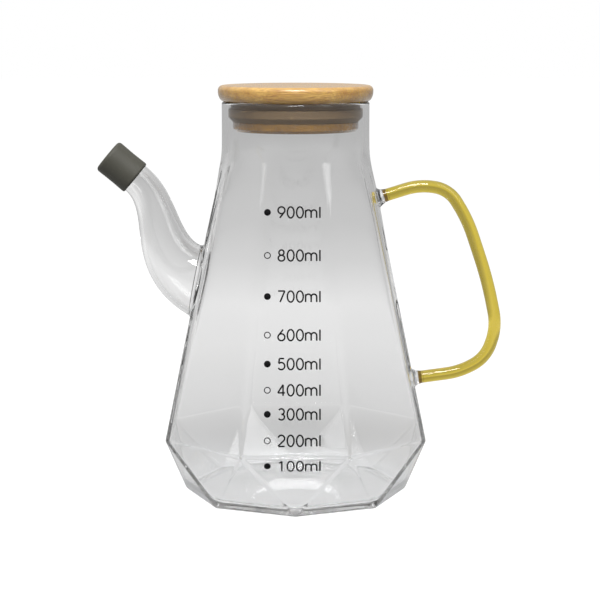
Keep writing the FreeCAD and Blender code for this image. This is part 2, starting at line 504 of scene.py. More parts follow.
@dataclass
class BodyGrid:
    """Grid of rings on one side of the body's glass, with columns along its edges."""

    form: SoftForm
    low_turn: float
    flat_column: int = 5
    face_steps: tuple[float, ...] = (0.0, 0.2, 0.4, 0.58, 0.72, 0.83, 0.9, 0.945, 0.975, 0.992)
    triangle_steps: tuple[float, ...] = (0.0, 0.02, 0.05, 0.1, 0.18, 0.32, 0.52, 0.75)
    near_edge: tuple[float, ...] = (0.25, 0.6, 1.1, 1.8, 3.0)
    clear_of_belt: float = 5.0
    low_rows: int = 6
    wall_shares: tuple[float, ...] = (0.06, 0.25, 0.45, 0.65, 0.85)
    crease_steps: tuple[float, ...] = (
        -8.0, -5.0, -3.6, -2.6, -1.9, -1.3, -0.8, -0.4, 0.0, 0.4, 0.8, 1.3, 2.0, 3.0, 5.0, 8.0, 12.0)
    floor_tilts: tuple[float, ...] = (90.0, 84.0, 76.0, 66.0, 55.0, 44.0, 36.0, 29.0)
    heel_shares: tuple[float, ...] = (
        1.9, 1.55, 1.35, 1.22, 1.14, 1.08, 1.05, 1.03, 1.015, 1.0, 0.985, 0.97, 0.95, 0.92, 0.86,
        0.78, 0.6, 0.35)

    def turns(self, split: np.ndarray) -> np.ndarray:
        """Angles of the columns, all the way round.

        Args:
            split: the diagonal's angle from the face's middle, one for each row.

        Returns:
            Rows by columns of angles; the first column is at the face that looks along +X.
        """
        half = self.form.shape.half_side
        face = np.outer(split, self.face_steps)
        triangle = split[:, None] + np.outer(half - split, self.triangle_steps)
        rising = np.concatenate([face, triangle, np.full((len(split), 1), half)], axis=1)
        sector = np.concatenate([rising, 2 * half - rising[:, -2:0:-1]], axis=1)
        starts = 2 * half * np.arange(self.form.shape.sides)
        return np.concatenate([sector + start for start in starts], axis=1)

    def rows(self) -> list[RingRow]:
        """Rows from the pole of the floor up to the neck."""
        belt = self.form.belt
        near = [step * MM for step in self.near_edge]
        low_heights = np.linspace(self.low_turn, belt - self.clear_of_belt * MM, self.low_rows)
        made = [RingRow(self.low_turn, tilt=math.radians(-angle)) for angle in self.floor_tilts]
        made += [RingRow(self.low_turn, heel_share=share) for share in self.heel_shares]
        made += [RingRow(height) for height in low_heights]
        made += [RingRow(belt + step) for step in (*(-step for step in reversed(near)), 0.0, *near)]
        made += [RingRow((belt + near[-1]) * (1 - share), share) for share in self.wall_shares]
        made += [RingRow(step * MM, 1.0) for step in self.crease_steps]
        return made

    def heel_tilt(self, turn: np.ndarray) -> np.ndarray:
        """Downward tilt of a ray from the low turning point to the heel.

        Args:
            turn: angles round the axis.

        Returns:
            The tilt at each angle.
        """
        form = self.form
        from_corner = np.abs(turn % (2 * form.shape.half_side) - form.shape.half_side)
        reach = form.shape.base_triangle.reach(form.floor, form.inset) / np.cos(from_corner)
        return np.arctan2(self.low_turn - form.floor, reach)

    def build(self) -> Patch:
        """Points and normals of the grid, rows by columns."""
        fixed, share, tilt, heel = np.array([astuple(row) for row in self.rows()]).T
        sunk = np.where(tilt < 0, 1.0, np.clip(heel, 0.0, 1.0))
        split = self.form.diagonal_turn(fixed + (self.form.floor - fixed) * sunk)
        upper = (share > 0) | (fixed >= self.form.belt)
        turn = self.turns(np.where(upper, self.form.shape.half_side, split))
        height = np.broadcast_to((fixed + share * self.form.crease)[:, None], turn.shape)
        tilts = tilt[:, None] - heel[:, None] * self.heel_tilt(turn)
        directions = np.stack(
            [np.cos(tilts) * np.cos(turn), np.cos(tilts) * np.sin(turn), np.sin(tilts)], axis=-1)
        points = self.form.hit((height[..., None] * UP).reshape(-1, 3), directions.reshape(-1, 3))
        normals = self.form.normals(points)
        return points.reshape(*turn.shape, 3), normals.reshape(*turn.shape, 3)

    def flat_rows(self) -> tuple[int, int]:
        """First and last row of the plain part of the tall faces."""
        shares = [row.crease_share for row in self.rows()]
        return max(i for i, share in enumerate(shares) if not share), shares.index(1.0)

    def flat_columns(self, side: int) -> np.ndarray:
        """Columns across the plain part of one tall face.

        Args:
            side: number of the face.

        Returns:
            The columns, in order.
        """
        sector = 2 * (len(self.face_steps) + len(self.triangle_steps))
        span = np.arange(-self.flat_column, self.flat_column + 1)
        return (side * sector + span) % (sector * self.form.shape.sides)


class Tube:
    """A round surface that is drawn by meridians, each running along one axis."""

    def point(self, share: np.ndarray, turn: np.ndarray) -> np.ndarray:
        """Points at shares of the length and turns round the axis."""
        raise NotImplementedError

    def normal(self, share: np.ndarray, turn: np.ndarray) -> np.ndarray:
        """Directions away from the tube's axis, square to its surface.

        Args:
            share: shares of the length.
            turn: turns round the axis.

        Returns:
            One direction for each point.
        """
        step = 1e-4
        along = self.point(share + step, turn) - self.point(share - step, turn)
        around = self.point(share, turn + step) - self.point(share, turn - step)
        return unit(np.cross(along, around))


@dataclass(frozen=True)
class SpoutTube(Tube):
    """The spout's outside or its bore: an oval that shrinks along a curved centreline."""

    shape: BodyShape
    inset: float = 0.0
    root_drop: float = 62.0 * MM
    root_inset: float = 10.7 * MM
    root_rise: float = math.radians(13.0)
    root_pull: float = 35.0 * MM
    root_half_height: float = 18.2 * MM
    root_half_width: float = 15.0 * MM
    reach: float = 27.1 * MM
    rise: float = 49.75 * MM
    tip_slope: float = math.radians(39.8)
    tip_pull: float = 22.0 * MM
    tip_radius: float = 7.2 * MM
    taper: float = 1.69
    lip_rings: int = 9

    @staticmethod
    def slope(angle: float) -> np.ndarray:
        """Direction that rises from -X by an angle."""
        return np.array([-math.cos(angle), 0.0, math.sin(angle)])

    @property
    def root(self) -> np.ndarray:
        """Point of the vessel's face that the spout grows from."""
        height = self.shape.shoulder - self.root_drop
        return np.array([-self.shape.upper.reach(height), 0.0, height])

    @property
    def mouth(self) -> np.ndarray:
        """Point of the centreline at the mouth of the cap."""
        return self.root + [-self.reach, 0.0, self.rise]

    def centre(self, share: np.ndarray) -> tuple[np.ndarray, np.ndarray]:
        """The centreline, a cubic curve that runs straight on past its end.

        Args:
            share: shares of the curve; past 1 they are 1 plus metres of the straight end.

        Returns:
            Points and directions.
        """
        a = self.root + [self.root_inset, 0.0, 0.0]
        b = a + self.slope(self.root_rise) * self.root_pull
        d = self.mouth
        c = d - self.slope(self.tip_slope) * self.tip_pull
        t = np.minimum(share, 1.0)[..., None]
        s = 1 - t
        point = a * s**3 + 3 * b * s**2 * t + 3 * c * s * t**2 + d * t**3
        slope = 3 * ((b - a) * s**2 + 2 * (c - b) * s * t + (d - c) * t**2)
        past = np.maximum(share - 1.0, 0.0)[..., None]
        return point + past * self.slope(self.tip_slope), unit(slope)

    def point(self, share: np.ndarray, turn: np.ndarray) -> np.ndarray:
        """Points at shares of the length and turns round the centreline.

        Args:
            share: shares of the centreline's length.
            turn: turns round it.

        Returns:
            One point for each share and turn.
        """
        share, turn = np.broadcast_arrays(share, turn)
        centre, direction = self.centre(share)
        growth = (np.clip(1 - share, 0.0, None) ** self.taper)[..., None]
        height, width = (self.tip_radius + (root - self.tip_radius) * growth - self.inset
                         for root in (self.root_half_height, self.root_half_width))
        return centre + spokes(turn, np.cross(direction, SIDE) * height, SIDE * width)

    def lip(self, turn: np.ndarray, length: float, wall: float) -> Patch:
        """Rounded end of the tip, from its outside round to its bore.

        Args:
            turn: turns of the meridians.
            length: straight length of the tip beyond the curve.
            wall: thickness of the spout's wall.

        Returns:
            Points and normals, rings by meridians.
        """
        centre, ahead = self.centre(np.array(1.0 + length - wall / 2))
        radial = spokes(turn, np.cross(ahead, SIDE), SIDE)
        return rounded_end(centre, radial, ahead, self.tip_radius, wall, self.lip_rings)


@dataclass(frozen=True)
class NubTube(Tube):
    """A clear flared stub that runs from the vessel's wall to one end of the handle."""

    end: np.ndarray
    outward: np.ndarray
    length: float
    root_radius: float
    end_radius: float
    flare: float = 1.15

    def point(self, share: np.ndarray, turn: np.ndarray) -> np.ndarray:
        """Points at shares of the length and turns round the axis.

        Args:
            share: shares of the stub's length.
            turn: turns round its axis.

        Returns:
            One point for each share and turn.
        """
        share, turn = np.broadcast_arrays(share, turn)
        growth = np.clip(1 - share, 0, None) ** self.flare
        reach = self.end_radius + (self.root_radius - self.end_radius) * growth
        radial = spokes(turn, np.cross(self.outward, SIDE), SIDE)
        back = ((share - 1) * self.length)[..., None] * self.outward
        return self.end + back + radial * reach[..., None]


@dataclass(frozen=True)
class Junction:
    """Where a tube leaves a flat face, with a rounded corner between the two."""

    tube: Tube
    normal: np.ndarray
    offset: float
    turn: np.ndarray
    fillet: float
    steps: int = 6

    def crossing(self) -> np.ndarray:
        """Share of the tube's length at which each meridian passes through the face."""
        return bisect(lambda share: self.tube.point(share, self.turn) @ self.normal > self.offset,
                      np.ones(len(self.turn)))

    def rings(self, along: np.ndarray) -> Patch:
        """Rings from the flat face round the corner and along the tube.

        Args:
            along: shares of what is left of the tube after the corner, from 0 to 1.

        Returns:
            Points and normals, rings by meridians. The first ring lies in the face.
        """
        share, step = self.crossing(), 1e-4
        corner = self.tube.point(share, self.turn)
        speed = self.tube.point(share + step, self.turn) - self.tube.point(share - step, self.turn)
        share = share + self.fillet * 2 * step / np.linalg.norm(speed, axis=1)
        wall = self.tube.normal(share, self.turn)
        level = wall - np.outer(wall @ self.normal, self.normal)
        start = corner + unit(level) * self.fillet
        finish = self.tube.point(share, self.turn)
        points, normals = [], []
        for step in np.linspace(0.0, 1.0, self.steps, endpoint=False):
            tangent = unit((corner - start) * (1 - step) + (finish - corner) * step)
            lean = (1 - step) * self.normal + step * wall
            points.append(start * (1 - step) ** 2 + corner * 2 * step * (1 - step) + finish * step**2)
            normals.append(lean - tangent * (lean * tangent).sum(axis=1, keepdims=True))
        for step in along:
            here = share + (1 - share) * step
            points.append(self.tube.point(here, self.turn))
            normals.append(self.tube.normal(here, self.turn))
        return np.array(points), unit(np.array(normals))


@dataclass
class GlassVessel:
    """The clear vessel: body, spout and the nubs of the handle, in one closed skin."""

    shape: BodyShape
    rod: "RodHandle"
    floor: float = 3.6 * MM
    low_turn: float = 8.0 * MM
    inner_low_turn: float = 9.0 * MM
    nub_flare: float = 2.3 * MM
    nub_lip: float = 0.3 * MM
    nub_fillet: float = 1.2 * MM
    nub_meridians: int = 32
    nub_rings: int = 8
    cap_shares: tuple = (0.9, 0.45, 0.0)
    spout_wall: float = 1.9 * MM
    spout_fillet: float = 1.8 * MM
    bore_fillet: float = 1.5 * MM
    tip_length: float = 12.0 * MM
    meridians: int = 56
    spout_rings: int = 30
    rim_rings: int = 11

    def build(self) -> bpy.types.Object:
        """Makes the vessel's closed skin."""
        shape, skin = self.shape, Skin()
        outside = SoftForm(shape, 0.0, floor=0.0, floor_edge=0.6 * MM, crown=1.2 * MM,
                           crown_radius=36 * MM)
        cavity = SoftForm(shape, shape.wall, floor=self.floor, floor_edge=1.2 * MM, crown=1.0 * MM,
                          crown_radius=34 * MM)
        outer = BodyGrid(outside, self.low_turn, flat_column=7)
        inner = BodyGrid(cavity, self.floor + self.inner_low_turn)
        turn = outer.turns(np.array([shape.half_side]))[0]
        radial = spokes(turn, np.array([1.0, 0.0, 0.0]), SIDE)
        rim = rounded_end(UP * (shape.rim_height - shape.wall / 2), radial, UP, shape.neck_radius,
                          shape.wall, self.rim_rings)
        points, normals = walled(outer.build(), rim, inner.build())
        skip = np.zeros((len(points) - 1, points.shape[1]), bool)
        last_row = len(points) - 1
        bore_rows = tuple(last_row - row for row in reversed(inner.flat_rows()))
        back = shape.sides // 2
        windows = []
        for columns, (first, last) in (
            (outer.flat_columns(0), outer.flat_rows()),
            (outer.flat_columns(back), outer.flat_rows()),
            (inner.flat_columns(back), bore_rows),
        ):
            skip[first:last, columns[:-1]] = True
            windows.append(np.concatenate([
                points[first, columns], points[first + 1:last, columns[-1]],
                points[last, columns[::-1]], points[first + 1:last, columns[0]][::-1]]))
        handle_window, spout_window, bore_window = windows
        skin.add_grid(points, normals, skip)
        self.add_spout(skin, spout_window, bore_window)
        self.add_nubs(skin, handle_window)
        return skin.to_object("glass_vessel_body")

    def face_normal(self, sign: float) -> np.ndarray:
        """Outward direction of the tall face on the +X or the -X side."""
        return np.array([sign * self.shape.upper.radial, 0.0, self.shape.upper.vertical])

    def add_spout(self, skin: Skin, face: np.ndarray, bore_face: np.ndarray) -> None:
        """Adds the spout and the faces round its root.

        Args:
            skin: the vessel's skin.
            face: outline of the plain part of the outer face.
            bore_face: the same on the cavity's side.
        """
        turn = np.linspace(0.0, 2 * math.pi, self.meridians, endpoint=False)
        along = np.linspace(0.0, 1.0, self.spout_rings)
        normal, offset = self.face_normal(-1.0), self.shape.upper.offset
        tube, bore = SpoutTube(self.shape), SpoutTube(self.shape, self.spout_wall)
        outer = Junction(tube, normal, offset, turn, self.spout_fillet).rings(along)
        inner = Junction(bore, normal, offset - self.shape.wall, turn, self.bore_fillet).rings(along)
        skin.add_flat(face, [outer[0][0]], normal)
        skin.add_flat(bore_face, [inner[0][0]], -normal)
        skin.add_grid(*walled(outer, tube.lip(turn, self.tip_length, self.spout_wall), inner))

    def add_nubs(self, skin: Skin, face: np.ndarray) -> None:
        """Adds the nubs that carry the handle, and the face round them.

        Args:
            skin: the vessel's skin.
            face: outline of the plain part of the outer face.
        """
        turn = np.linspace(0.0, 2 * math.pi, self.nub_meridians, endpoint=False)
        normal = self.face_normal(1.0)
        holes = []
        for end, outward in self.rod.ends():
            length = (self.rod.nub_length + self.shape.wall / 2) / outward[0]
            tube = NubTube(end, outward, length, self.rod.radius + self.nub_flare,
                           self.rod.radius + self.nub_lip)
            junction = Junction(tube, normal, self.shape.upper.offset, turn, self.nub_fillet)
            points, normals = junction.rings(np.linspace(0.0, 1.0, self.nub_rings))
            holes.append(points[0])
            cap = np.array([end + (points[-1] - end) * share for share in self.cap_shares])
            skin.add_grid(np.concatenate([points, cap]),
                          np.concatenate([normals, np.broadcast_to(outward, cap.shape)]))
        skin.add_flat(face, holes, normal)


# ---- Node helpers ---------------------------------------------------------------------

class Nodes:
    """A node tree with short ways to add nodes. A node given as a value is its first output."""

    def __init__(self, tree: bpy.types.NodeTree) -> None:
        """Takes the tree that the nodes go into."""
        self.tree = tree

    def add(self, kind: str, inputs: dict | None = None, **properties: object) -> bpy.types.Node:
        """Adds a node.

        Args:
            kind: the node's type.
            inputs: values by socket; a node or a socket is linked, anything else is set.
            properties: the node's own settings.

        Returns:
            The new node.
        """
        made = self.tree.nodes.new(kind)
        for name, value in properties.items():
            setattr(made, name, value)
        for key, value in (inputs or {}).items():
            value = value.outputs[0] if isinstance(value, bpy.types.Node) else value
            if isinstance(value, bpy.types.NodeSocket):
                self.tree.links.new(value, made.inputs[key])
            else:
                made.inputs[key].default_value = value
        return made

    def maths(self, operation: str, *values: object) -> bpy.types.Node:
        """Math node on up to three values."""
        return self.add("ShaderNodeMath", dict(enumerate(values)), operation=operation)

    def vector(self, operation: str, first: object, second: object) -> bpy.types.Node:
        """Vector Math node on two vectors."""
        return self.add("ShaderNodeVectorMath", {0: first, 1: second}, operation=operation)

    def scaled(self, vector: object, factor: object) -> bpy.types.Node:
        """Vector times a number."""
        return self.add("ShaderNodeVectorMath", {0: vector, "Scale": factor}, operation="SCALE")

    def split(self, vector: object) -> bpy.types.NodeOutputs:
        """Sockets of a vector's X, Y and Z."""
        return self.add("ShaderNodeSeparateXYZ", {0: vector}).outputs

    def place(self) -> bpy.types.NodeSocket:
        """Place of the shaded point in the object's coordinates."""
        return self.add("ShaderNodeTexCoord").outputs["Object"]

    def noise(self, place: object, scale: object, detail: float = 2.0,
              roughness: float = 0.5) -> bpy.types.Node:
        """Noise texture at a place."""
        return self.add("ShaderNodeTexNoise", {
            "Vector": place, "Scale": scale, "Detail": detail, "Roughness": roughness})

    def cells(self, place: object, scale: float) -> bpy.types.NodeSocket:
        """Distance to the middle of the nearest cell of a Voronoi texture."""
        return self.add("ShaderNodeTexVoronoi", {"Vector": place, "Scale": scale}).outputs["Distance"]

    def stretched(self, place: object, scale: tuple[float, float, float]) -> bpy.types.Node:
        """Place with each of its coordinates scaled."""
        return self.add("ShaderNodeMapping", {"Vector": place, "Scale": scale})

    def remap(self, value: object, low: object, high: object, to_low: object = 0.0,
              to_high: object = 1.0, **properties: object) -> bpy.types.Node:
        """Moves a value from one span to another and keeps it there.

        Args:
            value: the value.
            low: start of the span that it comes from.
            high: end of that span.
            to_low: start of the span that it goes to.
            to_high: end of that span.
            properties: the node's own settings.

        Returns:
            The node.
        """
        return self.add("ShaderNodeMapRange", {
            "Value": value, "From Min": low, "From Max": high, "To Min": to_low,
            "To Max": to_high}, **properties)

    def mix(self, factor: object, first: object, second: object) -> bpy.types.NodeSocket:
        """Colour between two others; the factor is the share of the second."""
        inputs = {"Factor": factor, 6: first, 7: second}
        return self.add("ShaderNodeMix", inputs, data_type="RGBA").outputs[2]


class Group(Nodes):
    """A node group under construction, with its inputs' sockets by name."""

    KINDS = {int: "NodeSocketInt", float: "NodeSocketFloat", type(None): "NodeSocketMaterial"}
    NAMED = {"Geometry": "NodeSocketGeometry", "Color": "NodeSocketColor"}

    def __init__(self, kind: str, name: str, inputs: dict, outputs: Sequence[str]) -> None:
        """Starts the group.

        Args:
            kind: the tree's type.
            name: the group's name.
            inputs: default value of each input, by name; None stands for a material.
            outputs: names of the results, which are numbers unless NAMED lists them.
        """
        super().__init__(bpy.data.node_groups.new(name, kind))
        sockets = [(label, "INPUT", default) for label, default in inputs.items()]
        sockets += [(label, "OUTPUT", 0.0) for label in outputs]
        for label, way, default in sockets:
            made = self.tree.interface.new_socket(
                label, in_out=way, socket_type=self.socket_kind(label, default))
            if way == "INPUT" and default is not None:
                made.default_value = default
        start = self.tree.nodes.new("NodeGroupInput")
        self.given = {socket.name: socket for socket in start.outputs if socket.name}

    def socket_kind(self, label: str, default: object) -> str:
        """Type of a socket.

        Args:
            label: the socket's name.
            default: its default value; None stands for a material.

        Returns:
            The type's name.
        """
        if isinstance(default, tuple):
            return "NodeSocketColor" if len(default) == 4 else "NodeSocketVector"
        return self.NAMED.get(label, self.KINDS[type(default)])

    def close(self, results: dict) -> bpy.types.NodeTree:
        """Joins the results to the outputs by name, and returns the tree."""
        self.add("NodeGroupOutput", results)
        return self.tree


class ShaderGroup(Group):
    """A shader node group."""

    def __init__(self, name: str, inputs: dict, outputs: Sequence[str]) -> None:
        """Starts the group with its inputs' defaults and its outputs' names."""
        super().__init__("ShaderNodeTree", name, inputs, outputs)


# ---- Shared effects -------------------------------------------------------------------

class SharedEffects:
    """Shader node groups that more than one finish uses, each built once."""

    def __init__(self) -> None:
        """Builds the groups."""
        self.ripple = self.glass_ripple()
        self.grain = self.bamboo_grain()
        self.skin = self.moulded_skin()

    @staticmethod
    def glass_ripple() -> bpy.types.NodeTree:
        """Slow waves, upright draw lines and faint smudges of hand-worked glass."""
        group = ShaderGroup("glass_ripple", {"Wave Size": 18.0, "Draw Lines": 0.3, "Smudge": 0.02},
                            ("Height", "Roughness"))
        place = group.place()
        waves = group.noise(place, group.given["Wave Size"], detail=1.0)
        lines = group.noise(group.stretched(place, (150.0, 150.0, 9.0)), 1.0)
        drawn = group.maths("MULTIPLY", lines, group.given["Draw Lines"])
        high = group.remap(group.noise(place, 60.0, detail=4.0, roughness=0.6), 0.5, 0.8)
        return group.close({"Height": group.maths("ADD", waves, drawn),
                            "Roughness": group.maths("MULTIPLY", high, group.given["Smudge"])})

    @staticmethod
    def bamboo_grain() -> bpy.types.NodeTree:
        """Fibres along Y, or along X: long streaks seen from the side, specks on the ends."""
        group = ShaderGroup("bamboo_grain", {
            "Light": (0.8, 0.6, 0.3, 1.0), "Dark": (0.4, 0.2, 0.1, 1.0),
            "Speck": (0.3, 0.15, 0.05, 1.0), "Speck Depth": 0.5, "Streak Depth": 0.5, "Gloss": 0.3,
            "Along X": 0.0}, ("Color", "Roughness", "Height"))
        given = group.given
        quarter = group.maths("MULTIPLY", given["Along X"], math.pi / 2)
        place = group.add("ShaderNodeVectorRotate", {"Vector": group.place(), "Angle": quarter},
                          rotation_type="Z_AXIS")
        bend = group.noise(place, 22.0).outputs["Color"]
        swayed = group.vector("ADD", place, group.vector("MULTIPLY", bend, (0.003, 0.0, 0.003)))
        fibre = group.noise(group.stretched(swayed, (1500.0, 45.0, 1500.0)), 1.0, detail=3.0,
                            roughness=0.65)
        band = group.noise(group.stretched(swayed, (260.0, 9.0, 260.0)), 1.0)
        bundles = group.cells(group.stretched(swayed, (1150.0, 30.0, 1150.0)), 1.0)
        dotted = group.maths("MULTIPLY", group.remap(bundles, 0.16, 0.42, 1.0, 0.0),
                             given["Speck Depth"])
        streak = group.remap(fibre, 0.32, 0.7)
        streaked = group.maths("MULTIPLY", streak, given["Streak Depth"])
        both = group.maths("MULTIPLY_ADD", group.remap(band, 0.3, 0.72), 0.45, streaked)
        body = group.mix(both, given["Light"], given["Dark"])
        return group.close({"Color": group.mix(dotted, body, given["Speck"]),
                            "Roughness": group.maths("MULTIPLY_ADD", streak, 0.12, given["Gloss"]),
                            "Height": group.maths("MULTIPLY_ADD", dotted, -0.6, streak)})

    @staticmethod
    def moulded_skin() -> bpy.types.NodeTree:
        """Fine matt skin of moulded silicone, with specks of dust and a soft mottle."""
        group = ShaderGroup("moulded_skin", {
            "Colour": (0.2, 0.2, 0.2, 1.0), "Mottle": 0.12, "Dust": 0.15, "Matt": 0.55},
            ("Color", "Roughness", "Height"))
        given, place = group.given, group.place()
        pores = group.noise(place, 2600.0)
        mote = group.remap(group.cells(place, 900.0), 0.03, 0.11, 1.0, 0.0)
        lift = group.maths("SUBTRACT", group.noise(place, 130.0, detail=3.0), 0.5)
        swing = group.maths("MULTIPLY_ADD", lift, given["Mottle"], 1.0)
        dust = group.maths("MULTIPLY", mote, given["Dust"])
        colour = group.mix(dust, group.scaled(given["Colour"], swing), (0.6, 0.58, 0.52, 1.0))
        return group.close({"Color": colour, "Height": pores,
                            "Roughness": group.maths("MULTIPLY_ADD", pores, 0.12, given["Matt"])})


# ---- Finishes -------------------------------------------------------------------------

def linear(*screen: int) -> tuple[float, float, float, float]:
    """Colour for a shader, from its red, green and blue on screen, each 0 to 255."""
    levels = [value / 255 for value in screen]
    return (*(v / 12.92 if v <= 0.04045 else ((v + 0.055) / 1.055) ** 2.4 for v in levels), 1.0)


@dataclass(frozen=True)
class Finish:
    """One material, named for what it is on the object."""

    name: str
    relief: float = 0.0

    def start(self) -> tuple[bpy.types.Material, Nodes]:
        """New material with an empty node tree."""
        material = bpy.data.materials.new(self.name)
        material.use_nodes = True
        material.node_tree.nodes.clear()
        return material, Nodes(material.node_tree)

    def worked(self, nodes: Nodes, effect: bpy.types.NodeTree) -> dict:
        """Places a shared group, whose inputs are fields of this finish.

        Args:
            nodes: the material's nodes.
            effect: the group.

        Returns:
            The inputs that it gives to the material's shader.
        """
        made = nodes.add("ShaderNodeGroup", node_tree=effect)
        for socket in made.inputs:
            socket.default_value = getattr(self, socket.name.lower().replace(" ", "_"))
        inputs = {"Roughness": made.outputs["Roughness"]}
        if "Color" in made.outputs:
            inputs["Base Color"] = made.outputs["Color"]
        inputs["Normal"] = nodes.add("ShaderNodeBump", {
            "Height": made.outputs["Height"], "Strength": 1.0, "Distance": self.relief * MM})
        return inputs

    def opaque(self, effect: bpy.types.NodeTree, further: dict) -> bpy.types.Material:
        """Makes an opaque material.

        Args:
            effect: the shared group that textures it.
            further: further inputs of its shader.

        Returns:
            The material.
        """
        material, nodes = self.start()
        body = nodes.add("ShaderNodeBsdfPrincipled", self.worked(nodes, effect) | further)
        nodes.add("ShaderNodeOutputMaterial", {"Surface": body})
        return material


@dataclass(frozen=True)
class GlassFinish(Finish):
    """Clear or coloured glass that darkens with the length of glass looked through."""

    tint: tuple = (1.0, 1.0, 1.0, 1.0)
    absorbed: tuple = (0.5, 0.5, 0.5, 1.0)
    density: float = 8.0
    ior: float = 1.47
    relief: float = 0.005
    wave_size: float = 18.0
    draw_lines: float = 0.1
    smudge: float = 0.02
    shade: tuple = (0.93, 0.94, 0.95, 1.0)

    def surface_tint(self, nodes: Nodes) -> object:
        """Colour of the surface itself, the same all over."""
        return self.tint

    def build(self, effects: SharedEffects) -> bpy.types.Material:
        """Makes the material.

        Args:
            effects: the shared node groups.

        Returns:
            The material.
        """
        material, nodes = self.start()
        body = nodes.add("ShaderNodeBsdfPrincipled", {
            "Base Color": self.surface_tint(nodes), "Metallic": 0.0, "Transmission Weight": 1.0,
            "IOR": self.ior, **self.worked(nodes, effects.ripple)})
        clear = nodes.add("ShaderNodeBsdfTransparent", {"Color": self.shade})
        lamp_ray = nodes.add("ShaderNodeLightPath").outputs["Is Shadow Ray"]
        mixed = nodes.add("ShaderNodeMixShader", {0: lamp_ray, 1: body, 2: clear})
        inside = nodes.add("ShaderNodeVolumeAbsorption",
                           {"Color": self.absorbed, "Density": self.density})
        nodes.add("ShaderNodeOutputMaterial", {"Surface": mixed, "Volume": inside})
        return material


@dataclass(frozen=True)
class FusedRodFinish(GlassFinish):
    """Coloured glass with burnt rings where the rod was fused at its two ends."""

    ends: tuple = ()
    burnt: tuple = linear(122, 84, 34)
    radius: float = 3.12
    rings: tuple = ((0.1, 0.26, 0.85), (1.9, 0.16, 0.5))

    def surface_tint(self, nodes: Nodes) -> object:
        """Colour of the surface, darkened in rings about each end.

        Args:
            nodes: the material's nodes.

        Returns:
            The colour's socket.
        """
        place, mask = nodes.place(), 0.0
        for end in self.ends:
            away = nodes.vector("DISTANCE", place, end).outputs["Value"]
            for reach, width, depth in self.rings:
                middle = math.hypot(self.radius, reach) * MM
                off = nodes.maths("ABSOLUTE", nodes.maths("SUBTRACT", away, middle))
                ring = nodes.remap(off, 0.0, width * MM, depth, 0.0, interpolation_type="SMOOTHSTEP")
                mask = nodes.maths("MAXIMUM", mask, ring)
        return nodes.mix(mask, self.tint, self.burnt)


@dataclass(frozen=True)
class BambooFinish(Finish):
    """Lacquered bamboo with its fibres along X or along Y."""

    light: tuple = linear(233, 190, 104)
    dark: tuple = linear(163, 108, 44)
    speck: tuple = linear(120, 78, 36)
    speck_depth: float = 0.25
    streak_depth: float = 0.6
    gloss: float = 0.2
    relief: float = 0.12
    along_x: float = 1.0
    coat: float = 0.6
    coat_roughness: float = 0.15

    def build(self, effects: SharedEffects) -> bpy.types.Material:
        """Makes the material with the shared node groups."""
        coat = {"Coat Weight": self.coat, "Coat Roughness": self.coat_roughness}
        return self.opaque(effects.grain, coat)


@dataclass(frozen=True)
class SiliconeFinish(Finish):
    """Moulded silicone rubber."""

    colour: tuple = linear(68, 67, 58)
    mottle: float = 0.12
    dust: float = 0.15
    matt: float = 0.55
    relief: float = 0.01
    shine: float = 0.5

    def build(self, effects: SharedEffects) -> bpy.types.Material:
        """Makes the material with the shared node groups."""
        return self.opaque(effects.skin, {"Specular IOR Level": self.shine})


# ---- Geometry trees -------------------------------------------------------------------

class GeometryGroup(Group):
    """A Geometry Nodes tree that takes and gives one geometry."""

    def __init__(self, name: str, inputs: dict) -> None:
        """Starts the tree with its further inputs' defaults; None stands for a material."""
        super().__init__("GeometryNodeTree", name, {"Geometry": None, **inputs}, ["Geometry"])

    def finish(self, geometry: bpy.types.Node) -> bpy.types.NodeTree:
        """Ends the tree with smooth shading, realized instances and its materials.

        Args:
            geometry: what the tree has made.

        Returns:
            The tree.
        """
        smooth = self.add("GeometryNodeSetShadeSmooth", {"Geometry": geometry})
        real = self.add("GeometryNodeRealizeInstances", {"Geometry": smooth})
        last = self.add("GeometryNodeSetMaterial",
                        {"Geometry": real, "Material": self.given["Material"]})
        if "Lower Material" in self.given:
            height = self.split(self.add("GeometryNodeInputPosition"))["Z"]
            below = self.maths("LESS_THAN", height, self.given["Split Height"])
            last = self.add("GeometryNodeSetMaterial", {
                "Geometry": last, "Selection": below, "Material": self.given["Lower Material"]})
        return self.close({"Geometry": last})


def grow(source: bpy.types.ID, name: str, tree: bpy.types.NodeTree, values: dict) -> bpy.types.Object:
    """Runs a geometry tree on a mesh or curve and keeps the result as a plain mesh.

    Args:
        source: the mesh or curve data that the tree starts from.
        name: name of the finished object.
        tree: the geometry tree.
        values: values of the tree's inputs, by name.

    Returns:
        The finished object, linked to the scene.
    """
    seed = in_scene(name + "_seed", source)
    modifier = seed.modifiers.new(tree.name, "NODES")
    modifier.node_group = tree
    for item in tree.interface.items_tree:
        if item.in_out == "INPUT" and item.name in values:
            modifier[item.identifier] = values[item.name]
    graph = bpy.context.evaluated_depsgraph_get()
    mesh = bpy.data.meshes.new_from_object(seed.evaluated_get(graph), depsgraph=graph)
    seed.modifiers.remove(modifier)
    bpy.data.objects.remove(seed)
    mesh.name = name
    close_up(mesh)
    return in_scene(name, mesh)


def poly_curve(name: str, lines: Sequence[Sequence[Sequence[float]]]) -> bpy.types.Curve:
    """Makes curve data of straight runs.

    Args:
        name: its name.
        lines: points of each spline, in order.

    Returns:
        The curve data.
    """
    curve = bpy.data.curves.new(name, "CURVE")
    curve.dimensions = "3D"
    for places in lines:
        line = curve.splines.new("POLY")
        line.points.add(len(places) - 1)
        for point, place in zip(line.points, places):
            point.co = (*place, 1.0)
    return curve


